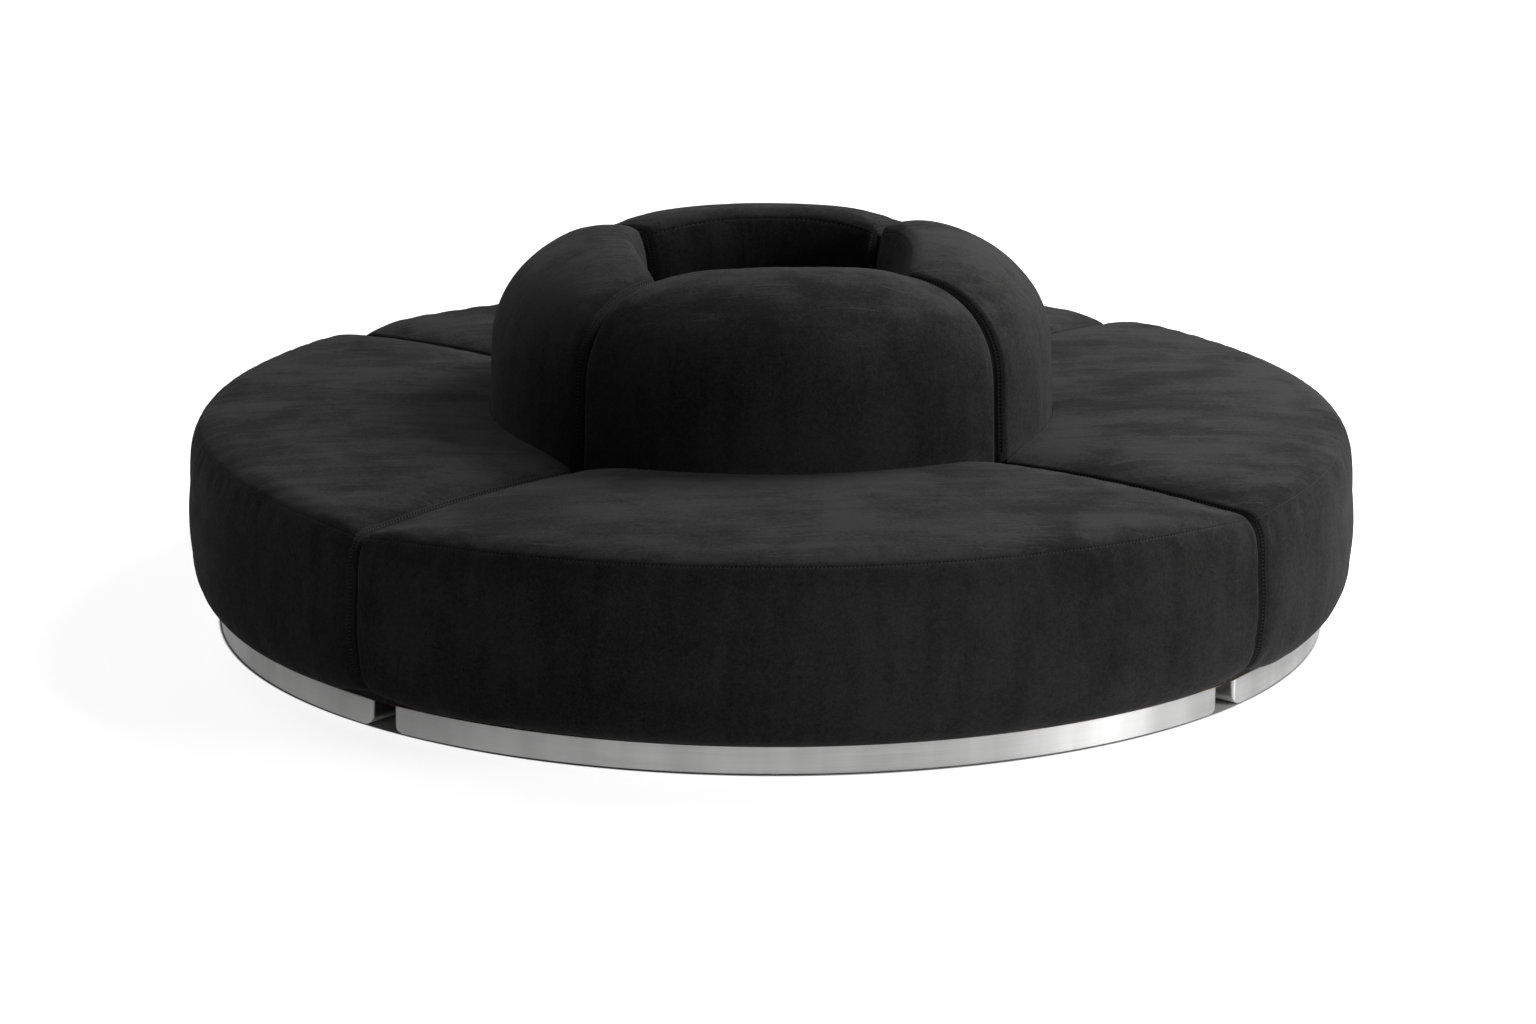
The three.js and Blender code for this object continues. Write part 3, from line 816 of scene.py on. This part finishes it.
    def relief(self, grid: Grid, gap: Array, run: Array, quarter: Quarter) -> Array:
        """How far each point stands out: seams sink, their edges rise and pucker, and the cloth ripples.

        Args:
            grid: the skin.
            gap: distance to the nearest seam.
            run: place along that seam.
            quarter: the quarter, whose folds are its own.

        Returns:
            The offset of each point.
        """
        sewn = self.sewn
        start, end = self.shown()
        side_gap = self.side_gap(grid.across)[:, None]
        open_side = np.clip(side_gap / sewn.fade, 0.0, 1.0)
        inside = np.clip(np.minimum(grid.along - start, end - grid.along) / sewn.fade, 0.0, 1.0)
        groove = -sewn.groove * np.exp(-((gap / sewn.groove_width) ** 2))
        edge = sewn.edge * np.exp(-(((gap - sewn.edge_place) / sewn.edge_width) ** 2))
        seed = self.seed + sewn.seed_step * quarter.turn
        pucker = wander_over(run * sewn.pucker_along, gap * sewn.pucker_away, seed)
        near = np.exp(-gap / sewn.pucker_reach) * (1 - np.exp(-((gap / sewn.pucker_start) ** 2)))
        ripple = wander(grid.points * np.array(sewn.ripple_scale) + seed)
        crease = wander(grid.points * np.array(sewn.crease_scale) - seed)
        cloth = (sewn.ripple * ripple + sewn.crease * crease) * np.clip(gap / sewn.fade, 0.0, 1.0)
        sewing = groove + edge * open_side + sewn.pucker * pucker * near * (side_gap >= 0)
        return sewing + (cloth + self.folds(grid, seed)) * open_side * inside

    def folds(self, grid: Grid, seed: float) -> Array:
        """Folds of the cloth's own at each point; pieces that show some give them."""
        return np.zeros(grid.points.shape[:2])


def add_object(name: str, data: ID) -> Object:
    """A new object in the scene."""
    thing = bpy.data.objects.new(name, data)
    bpy.context.collection.objects.link(thing)
    return thing


def wander(places: Array) -> Array:
    """Smooth noise between -1 and 1 at each of a grid of places."""
    flat = places.reshape(-1, 3)
    return np.fromiter((noise.noise(Vector(place)) for place in flat), float).reshape(places.shape[:-1])


def wander_over(first: Array, second: Array, seed: float) -> Array:
    """Smooth noise over two coordinates, which may be a column and a row."""
    return wander(np.stack(np.broadcast_arrays(first, second, seed), axis=-1))


def ends_of(length: float, reach: float, count: int = 14) -> Array:
    """Close places at both ends of a length, where an edge turns over."""
    near = reach * (1 - np.cos(np.linspace(0.0, math.pi / 2, count)))
    return np.concatenate((near, length - near))


def lay_cloth(mesh: Mesh, flat: Array, gap: Array, run: Array, side: Array) -> None:
    """Gives a mesh its cloth coordinates and what the velvet reads of its seams.

    Args:
        mesh: the mesh of a skin or a panel.
        flat: cloth coordinates of each vertex.
        gap: distance of each vertex to the nearest seam.
        run: its place along that seam.
        side: its distance to the side.
    """
    gap, run, side = np.broadcast_arrays(np.minimum(gap, SEAM_FAR), run, side)
    for label, values in ((SEAM_GAP, gap), (SEAM_RUN, run), (SIDE_GAP, side)):
        layer = mesh.attributes.new(label, "FLOAT", "POINT")
        layer.data.foreach_set("value", values.astype(np.float32).ravel())
    corners = np.empty(len(mesh.loops), dtype=np.int32)
    mesh.loops.foreach_get("vertex_index", corners)
    mesh.uv_layers.new(name=CLOTH_MAP).data.foreach_set("uv", flat[corners].astype(np.float32).ravel())


def smooth(piece: Object, angle: float) -> None:
    """Shades a piece smooth up to an angle in degrees."""
    select_only(piece)
    bpy.ops.object.shade_smooth_by_angle(angle=math.radians(angle))


def select_only(piece: Object) -> None:
    """Selects and activates one object."""
    bpy.ops.object.select_all(action="DESELECT")
    piece.select_set(True)
    bpy.context.view_layer.objects.active = piece


def pick(piece: Object, kind: str, test: Callable[[Any], bool]) -> None:
    """Selects the faces or edges of a piece in edit mode that pass a test.

    Args:
        piece: the piece.
        kind: faces or edges.
        test: tells whether one of them is selected.
    """
    bpy.ops.mesh.select_all(action="DESELECT")
    shell = bmesh.from_edit_mesh(piece.data)
    for part in getattr(shell, kind):
        part.select_set(test(part))
    bmesh.update_edit_mesh(piece.data)


def copy_of(mesh: Mesh, name: str) -> Object:
    """A new piece with its own copy of a mesh."""
    piece = add_object(name, mesh.copy())
    piece.data.name = name
    return piece


@dataclass
class SeatUpholstery(Upholstery):
    """Seat top and front of a quarter, sewn together below the top edge."""

    name: str = "seat_upholstery"
    nodes: tuple = ("seat_cushion_{}", "front_border_{}")
    seat: float = SEAT_LEVEL
    crown: float = 0.010
    inner: float = PLAN.back_face + SOFT_FIT
    outer: float = PLAN.radius + SOFT_FIT
    deck: float = bottom("seat_cushion_front")
    top_reach: float = 0.095
    top_drop: float = 0.140
    top_fullness: float = 3.3
    seam_drop: float = 0.021
    foot: float = bottom("front_border_front")
    foot_reach: float = 0.066
    foot_rise: float = 0.112
    foot_fullness: float = 2.1
    bulge: float = 0.005
    pad: float = 0.080
    bow: float = 0.010
    bow_from: float = 0.250
    foot_lift: float = 0.015
    lift_upto: float = 0.300
    top_points: int = 40
    wall_points: int = 20
    seed: float = 3.1

    def draw_profile(self) -> Array:
        """Rows from the backrest over the top and down the front, then back inside."""
        shoulder = self.outer - self.top_reach
        share = np.linspace(0.0, 1.0, self.top_points)
        level = self.seat + self.crown * 4 * share * (1 - share)
        flat = self.inner + (shoulder - self.inner) * share
        top_rows = np.column_stack((flat, level, 0 * share, 0 * share - 1))
        over = corner(shoulder, self.seat, self.top_reach, self.top_drop, self.top_fullness)
        share = np.linspace(0.0, 1.0, self.wall_points)[1:-1]
        level = (self.seat - self.top_drop) * (1 - share) + (self.foot + self.foot_rise) * share
        upright = self.outer + self.bulge * 4 * share * (1 - share)
        wall = np.column_stack((upright, level, 0 * share - 1, 0 * share))
        start = self.outer - self.foot_reach
        under = corner(start, self.foot, self.foot_reach, -self.foot_rise, self.foot_fullness)
        inside = PLAN.radius - self.pad
        hollow = bar(
            (inside, self.foot, 0, 0), (inside, self.deck, 0, 0), (self.inner, self.deck, 0, 0),
        )
        return np.vstack((top_rows[:-1], over, wall, under[::-1], hollow))

    def rise(self, level: Array, across: Array) -> Array:
        """The top rises towards the middle, the lower edge towards the sides."""
        high = np.clip((level - self.bow_from) / (self.seat - self.bow_from), 0.0, 1.0)
        low = np.clip((self.lift_upto - level) / (self.lift_upto - self.foot), 0.0, 1.0)
        return self.bow * (1 - np.abs(across) ** 3) * high + self.foot_lift * across**2 * low**2

    def seams(self) -> Sequence[float]:
        """The seam between the top and the front."""
        return (self.level_at(self.profile[:, 0] > PLAN.radius - self.top_reach, self.seat - self.seam_drop),)

    def shown(self) -> tuple:
        """From the backrest to the underside."""
        return 0.0, self.place_at(self.outer - self.foot_reach, self.foot)


@dataclass
class BackUpholstery(Upholstery):
    """Backrest of a quarter, rolled over from the seat to the well."""

    name: str = "back_upholstery"
    nodes: tuple = ("back_cushion_{}",)
    edge_round: float = 0.020
    top_round: float = 0.015
    gusset: float = 0.0024
    reference: float = PLAN.back_face
    bow: float = 0.019
    bow_from: float = 0.600
    height: float = top("back_cushion_front") - bow
    seat: float = SEAT_LEVEL
    deck: float = bottom("seat_cushion_front")
    lean: float = 0.008
    roll_reach: float = 0.290
    roll_drop: float = 0.222
    roll_fullness: float = 2.06
    edge_reach: float = 0.047
    edge_drop: float = 0.170
    edge_fullness: float = 2.3
    rim_seam: float = 0.021
    foot: float = bottom("back_cushion_front")
    board: float = 0.018
    board_outer: float = front("back_frame_front") + SOFT_FIT
    board_inner: float = board_outer - board - 2 * SOFT_FIT
    board_top: float = top("back_frame_front") + SOFT_FIT
    board_cover: float = 0.026
    fold_shift: float = 0.050
    fold_reach: float = 0.060
    fold_depth: float = 0.0030
    fold_scale: tuple = (5.0, 62.0)
    patch_scale: tuple = (3.5, 6.0)
    patch_shift: float = 5.0
    roll_steps: int = 90
    seed: float = 11.7

    @property
    def crest(self) -> float:
        """Radius at which the roll towards the seat meets the edge towards the well."""
        return PLAN.back_face - self.lean - self.roll_reach

    def draw_profile(self) -> Array:
        """Rows up the seat side, over the roll, down the well side, then round the board inside."""
        sizes = (self.roll_reach, self.roll_drop, self.roll_fullness, self.roll_steps)
        roll = corner(self.crest, self.height, *sizes)
        edge = corner(self.crest, self.height, -self.edge_reach, self.edge_drop, self.edge_fullness)
        face = bar((PLAN.back_face, self.deck, -1, 0), (PLAN.back_face, self.seat, -1, 0))
        well = bar((PLAN.well_face, self.foot, 1, 0))
        slot = bar(
            (self.board_inner, self.foot, 0, 0), (self.board_inner, self.deck, 0, 0),
            (self.board_inner, self.board_top, 0, 0), (self.board_outer, self.board_top, 0, 0),
            (self.board_outer, self.deck, 0, 0),
        )
        return np.vstack((face, roll[::-1], edge[1:], well, slot))

    def rise(self, level: Array, across: Array) -> Array:
        """The top rises towards the middle."""
        high = np.clip((level - self.bow_from) / (self.height - self.bow - self.bow_from), 0.0, 1.0)
        return self.bow * (1 - across**2) * high

    def hidden_rows(self, rows: Array, along: Array, gap: Array) -> Array:
        """Closes the board's slot near both ends."""
        begin = self.place_at(self.board_inner, self.deck)
        finish = self.place_at(self.board_outer, self.deck)
        slot = (along > begin) & (along < finish)
        closed = rows.copy()
        share = (along[slot] - begin) / (finish - begin)
        closed[slot, 0] = self.board_inner + (self.board_outer - self.board_inner) * share
        closed[slot, 1] = self.deck
        table = np.array(np.broadcast_to(rows, (len(gap),) + rows.shape))
        table[gap < self.board_cover] = closed
        return table

    def seams(self) -> Sequence[float]:
        """The seam under the rim on the well side."""
        inner = (self.profile[:, 0] < self.crest) & (self.profile[:, 1] > self.seat)
        return (self.level_at(inner, self.height - self.rim_seam),)

    def shown(self) -> tuple:
        """From the seat to the foot of the well side."""
        return self.place_at(PLAN.back_face, self.seat), self.place_at(PLAN.well_face, self.foot)

    def folds(self, grid: Grid, seed: float) -> Array:
        """Long thin folds that run beside the rim, where the cloth turns over into the well."""
        rim = self.seams()[0]
        reach = (grid.along - rim + self.fold_shift) / self.fold_reach
        window = np.exp(-(reach**2))[None, :]
        lines, patch = (
            wander_over(grid.across[:, None] * scale[0], grid.along * scale[1], seed + shift)
            for scale, shift in ((self.fold_scale, 0.0), (self.patch_scale, self.patch_shift))
        )
        strength = np.clip(0.55 + 1.3 * patch, 0.0, 1.0)
        return self.fold_depth * (0.35 - np.abs(lines)) * strength * window


@dataclass
class SidePanel:
    """Thin padded panel on a radial side of the seat frame."""

    finish: Material
    round_edge: float = 0.004
    round_cuts: int = 4
    merged: float = 0.00002
    flat_upto: float = 1.0
    smooth_upto: float = 40.0

    def build(self, quarter: Quarter, side: str) -> Object:
        """Builds a panel over its node.

        Args:
            quarter: the quarter that it belongs to.
            side: a or b.

        Returns:
            The finished object.
        """
        node = f"side_border_{quarter.label}_{side}"
        panel = copy_of(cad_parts[node].data, f"side_panel_{quarter.label}_{side}")
        select_only(panel)
        bpy.ops.object.mode_set(mode="EDIT")
        bpy.ops.mesh.select_all(action="SELECT")
        bpy.ops.mesh.remove_doubles(threshold=self.merged)
        bpy.ops.mesh.dissolve_limited(angle_limit=math.radians(self.flat_upto))
        bpy.ops.mesh.bevel(offset=self.round_edge, segments=self.round_cuts, affect="EDGES")
        bpy.ops.object.mode_set(mode="OBJECT")
        self.lay(panel.data)
        panel.data.materials.clear()
        panel.data.materials.append(self.finish)
        smooth(panel, self.smooth_upto)
        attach(panel, quarter.body)
        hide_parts(node)
        LOG.info("%s: %d faces", panel.name, len(panel.data.polygons))
        return panel

    def lay(self, mesh: Mesh) -> None:
        """Gives a panel its cloth coordinates, out from the middle and up, and no seam."""
        where = np.empty(len(mesh.vertices) * 3)
        mesh.vertices.foreach_get("co", where)
        where = where.reshape(-1, 3)
        far = np.full(len(where), SEAM_FAR)
        flat = np.column_stack((np.hypot(where[:, 0], where[:, 1]), where[:, 2]))
        lay_cloth(mesh, flat, gap=far, run=0 * far, side=far)


@dataclass
class Repeated:
    """A hard piece that is modelled once and copied."""

    finish: Material
    smooth_upto: float = 35.0
    pattern: Mesh = field(init=False)

    def __post_init__(self) -> None:
        """Models the piece, gives it its finish and keeps its mesh."""
        piece = self.model()
        piece.data.materials.append(self.finish)
        smooth(piece, self.smooth_upto)
        self.pattern = piece.data
        bpy.data.objects.remove(piece)

    def model(self) -> Object:
        """Models the piece, not yet moved into its place."""
        raise NotImplementedError


@dataclass
class PlinthSkirt(Repeated):
    """Steel skirt of a quarter: a folded band with soft corners, rolled in under its two ends."""

    outer: float = front("plinth_front")
    outer_setback: float = 0.020
    inset: float = 0.056
    inner: float = PLAN.well_face + inset
    half_gap: float = 0.030
    low: float = bottom("plinth_front")
    high: float = top("plinth_front")
    wall: float = 0.002
    corner: float = 0.010
    corner_cuts: int = 6
    under_corner: float = 0.026
    under_cuts: int = 9
    outer_sides: int = 720
    inner_sides: int = 346
    merged: float = 0.00001
    tolerance: float = 0.0005

    def disc(self, radius: float, setback: float, sides: int) -> Object:
        """A round plate through a radius on the middle line, with its centre set back."""
        bpy.ops.object.select_all(action="DESELECT")
        bpy.ops.mesh.primitive_cylinder_add(
            vertices=sides, radius=radius + setback, depth=self.high - self.low, end_fill_type="NGON",
            location=(0.0, setback, (self.low + self.high) / 2),
        )
        piece = bpy.context.active_object
        bpy.ops.object.transform_apply(location=True, rotation=True, scale=True)
        return piece

    def model(self) -> Object:
        """Models the skirt of a quarter that faces -Y."""
        band = self.disc(self.outer, self.outer_setback, self.outer_sides)
        hole = self.disc(self.inner, float(PLAN.setback(self.inner)), self.inner_sides)
        select_only(band)
        cut = band.modifiers.new("well", "BOOLEAN")
        cut.operation = "DIFFERENCE"
        cut.solver = "EXACT"
        cut.object = hole
        bpy.ops.object.modifier_apply(modifier=cut.name)
        bpy.data.objects.remove(hole)
        bpy.ops.object.mode_set(mode="EDIT")
        bpy.ops.mesh.select_mode(type="EDGE")
        sides = [Vector((sign / ROOT_TWO, 1 / ROOT_TWO, 0.0)) for sign in (-1.0, 1.0)]
        for outward in sides:
            self.trim(self.end_point(), outward)
        self.merge()
        pick(band, "edges", self.is_corner)
        bpy.ops.mesh.bevel(offset=self.corner, segments=self.corner_cuts, affect="EDGES")
        for outward in sides:
            self.round_under(outward)
        self.merge()
        bpy.ops.mesh.select_mode(type="FACE")
        pick(band, "faces", lambda face: abs(face.normal.z) > 0.999)
        bpy.ops.mesh.delete(type="FACE")
        bpy.ops.object.mode_set(mode="OBJECT")
        shell = band.modifiers.new("sheet", "SOLIDIFY")
        shell.thickness = self.wall
        shell.offset = -1.0
        shell.use_even_offset = True
        bpy.ops.object.modifier_apply(modifier=shell.name)
        return band

    def build(self, quarter: Quarter) -> Object:
        """Turns a copy of the skirt into its quarter."""
        band = copy_of(self.pattern, f"plinth_skirt_{quarter.label}")
        band.data.transform(Matrix.Rotation(quarter.turn, 4, "Z"))
        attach(band, quarter.body)
        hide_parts(f"plinth_{quarter.label}")
        LOG.info("%s: %d faces", band.name, len(band.data.polygons))
        return band

    def merge(self) -> None:
        """Joins points that lie on each other."""
        bpy.ops.mesh.select_all(action="SELECT")
        bpy.ops.mesh.remove_doubles(threshold=self.merged)

    def end_point(self) -> Vector:
        """The floor point where the planes of both radial ends meet."""
        return Vector((0.0, -self.half_gap * ROOT_TWO, 0.0))

    def trim(self, point: Vector, outward: Vector) -> None:
        """Cuts away what lies beyond a plane and closes the cut."""
        bpy.ops.mesh.select_all(action="SELECT")
        bpy.ops.mesh.bisect(plane_co=point, plane_no=outward, clear_outer=True, use_fill=True)

    def round_under(self, outward: Vector) -> None:
        """Rounds the lower edge of one end with a fan of cuts."""
        up = Vector((0.0, 0.0, 1.0))
        centre = self.end_point() - outward * self.under_corner + up * (self.low + self.under_corner)
        for step in range(1, self.under_cuts):
            turn = (math.pi / 2) * step / self.under_cuts
            normal = outward * math.cos(turn) - up * math.sin(turn)
            self.trim(centre + normal * self.under_corner, normal)

    def is_corner(self, edge: Any) -> bool:
        """Whether an edge is an upright corner of an end."""
        ends = [face for face in edge.link_faces if self.is_end(face)]
        rise = abs(edge.verts[0].co.z - edge.verts[1].co.z)
        return len(ends) == 1 and rise > 0.5 * (self.high - self.low)

    def is_end(self, face: Any) -> bool:
        """Whether a face lies along one of the two radial ends."""
        normal = face.normal
        along = max(abs(normal.x + normal.y), abs(normal.x - normal.y)) / ROOT_TWO
        middle = face.calc_center_median()
        gap = min(abs(middle.x + middle.y), abs(middle.x - middle.y)) / ROOT_TWO
        return along > 0.9999 and abs(gap - self.half_gap) < self.tolerance


@dataclass
class Glide(Repeated):
    """Moulded foot with a turned rim and a screw recess underneath."""

    radius: float = 0.024
    height: float = top("glide_front_1")
    sides: int = 48
    rim: float = 0.003
    rim_cuts: int = 4
    recess_width: float = 0.0108
    recess: float = 0.005
    lip: float = 0.0008
    lip_depth: float = 0.0006
    taper: float = 0.0004

    def model(self) -> Object:
        """Models a foot about the origin."""
        bpy.ops.object.select_all(action="DESELECT")
        bpy.ops.mesh.primitive_cylinder_add(
            vertices=self.sides, radius=self.radius, depth=self.height, end_fill_type="NGON",
            location=(0.0, 0.0, 0.0),
        )
        foot = bpy.context.active_object
        bpy.ops.object.mode_set(mode="EDIT")
        bpy.ops.mesh.select_mode(type="FACE")
        pick(foot, "faces", lambda face: face.normal.z < -0.9)
        bpy.ops.mesh.bevel(offset=self.rim, segments=self.rim_cuts, affect="EDGES")
        pick(foot, "faces", lambda face: face.normal.z < -0.9999)
        for width, depth in ((self.recess_width, 0.0), (self.lip, self.lip_depth), (self.taper, self.recess)):
            bpy.ops.mesh.inset(thickness=width, depth=-depth)
        bpy.ops.object.mode_set(mode="OBJECT")
        return foot

    def build(self, quarter: Quarter, number: int) -> Object:
        """Sets a copy of the foot over its node."""
        node = f"glide_{quarter.label}_{number}"
        low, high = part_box(node)
        foot = copy_of(self.pattern, f"foot_{quarter.label}_{number}")
        foot.data.transform(Matrix.Translation((low + high) / 2))
        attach(foot, quarter.body)
        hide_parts(node)
        LOG.info("%s: %d faces", foot.name, len(foot.data.polygons))
        return foot


@dataclass
class CarriedNodes:
    """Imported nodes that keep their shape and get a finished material."""

    finishes: dict

    def dress(self) -> None:
        """Puts each finish on the nodes whose names start with its key."""
        for name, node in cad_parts.items():
            for start, finish in self.finishes.items():
                if name.startswith(start):
                    for place in node.material_slots:
                        place.material = finish


@dataclass
class Studio:
    """Pale floor, soft light and the camera."""

    distance: float = 9.6659
    height: float = 2.8171
    pitch: float = math.radians(15.076)
    yaw: float = math.radians(-0.034)
    roll: float = math.radians(0.211)
    orbit: float = math.radians(5.149)
    lens: float = 103.43
    far: float = 60.0
    ground: float = 60.0
    mirrored: float = 0.5
    plain: float = 0.05
    covered: float = 1.251
    covered_blend: float = 0.006
    aim: tuple = (0.0, 0.0, 0.35)

    def build(self) -> None:
        """Makes the camera, the floor, the lamps and the sky."""
        self.camera()
        self.floor()
        self.lamps()
        self.sky()

    def camera(self) -> None:
        """Places the camera at the photograph's angle."""
        data = bpy.data.cameras.new("camera")
        data.lens = self.lens
        data.sensor_width = 36.0
        data.clip_end = self.far
        camera = add_object("camera", data)
        pose = Matrix.Rotation(-self.orbit, 4, "Z") @ Matrix.Translation((0.0, -self.distance, self.height))
        for angle, axis in ((-self.yaw, "Z"), (math.pi / 2 - self.pitch, "X"), (self.roll, "Z")):
            pose = pose @ Matrix.Rotation(angle, 4, axis)
        camera.matrix_world = pose
        bpy.context.scene.camera = camera

    def floor(self) -> None:
        """Lays a wide pale floor that the camera sees as white outside the shadow.

        The steel sees it as pale as well, brightest in front of the sofa and to the right.
        """
        bpy.ops.object.select_all(action="DESELECT")
        bpy.ops.mesh.primitive_plane_add(size=self.ground, location=(0.0, 0.0, 0.0))
        floor = bpy.context.active_object
        floor.name = "floor"
        recipe = Recipe("floor")
        across = recipe.part(recipe.place(), "X")
        # painted light: for what mirrors it, the floor glows brighter in front of the sofa and to the right,
        # a painted pool of light that the steel reflects
        pool = recipe.ease(across, -1.6, 0.6, 0.25, 1.38) * recipe.ease(across, 1.0, 1.3, 1.0, 0.12)
        reach = recipe.add("ShaderNodeVectorMath", {"operation": "LENGTH"}, {0: recipe.place()}, "Value")
        # painted shade: the floor's glow is cut out under the sofa, so a dark contact line shows beneath the
        # steel
        clear = recipe.ease(reach, self.covered - self.covered_blend, self.covered)
        clear = clear * recipe.ease(reach, 4.0, 14.0, 0.86, 1.0)
        matt = recipe.add("ShaderNodeBsdfDiffuse", {}, {"Color": (0.80, 0.80, 0.80, 1.0)})
        glow = recipe.add("ShaderNodeEmission", {}, {"Color": WHITE, "Strength": recipe.seen(pool) * clear})
        recipe.output(recipe.add("ShaderNodeAddShader", {}, {0: matt, 1: glow}))
        floor.data.materials.append(recipe.owner)

    def lamps(self) -> None:
        """Hangs the soft lamps: the key high on the right, a low one in front and a weak one behind."""
        self.lamp("key", place=(4.1, 2.0, 4.9), size=3.2, power=400.0)
        self.lamp("front", place=(5.3, -3.3, 2.0), size=2.4, power=140.0)
        self.lamp("rear", place=(-3.2, 3.2, 4.9), size=2.6, power=44.0)

    def lamp(self, name: str, place: Sequence[float], size: float, power: float) -> None:
        """Hangs a square lamp that faces the sofa."""
        data = bpy.data.lights.new(name, "AREA")
        data.size = size
        data.energy = power
        lamp = add_object(name, data)
        lamp.location = place
        lamp.rotation_euler = (Vector(self.aim) - Vector(place)).to_track_quat("-Z", "Y").to_euler()

    def sky(self) -> None:
        """Surrounds all with a faint even light that the camera sees as white and the metal as grey."""
        recipe = Recipe("studio", "worlds")
        bpy.context.scene.world = recipe.owner
        plain, glow = (
            recipe.add("ShaderNodeBackground", {}, {"Color": WHITE, "Strength": strength})
            for strength in (self.plain, 1.0)
        )
        shares = {0: recipe.seen(self.mirrored), 1: plain, 2: glow}
        recipe.output(recipe.add("ShaderNodeMixShader", {}, shares), "ShaderNodeOutputWorld")


def main() -> None:
    """Builds the scene and every piece."""
    logging.basicConfig(level=logging.INFO, format="%(message)s")
    bpy.context.scene.view_settings.view_transform = "Standard"
    Studio().build()
    velvet = Velvet().build()
    steel = BrushedSteel().build()
    plywood = Plywood().build()
    nylon = Nylon().build()
    zinc = ZincPlate().build()
    seat = SeatUpholstery(velvet)
    back = BackUpholstery(velvet)
    panel = SidePanel(velvet)
    skirt = PlinthSkirt(steel)
    glide = Glide(nylon)
    for quarter in Quarter:
        seat.dress(quarter)
        back.dress(quarter)
        for side in ("a", "b"):
            panel.build(quarter, side)
        skirt.build(quarter)
        for number in (1, 2, 3):
            glide.build(quarter, number)
    timber = dict.fromkeys(("seat_deck", "seat_frame", "back_frame", "base_board"), plywood)
    links = dict.fromkeys(("catch_plate", "hook_plate"), zinc)
    CarriedNodes({**timber, **links}).dress()


if __name__ == "__main__":
    main()
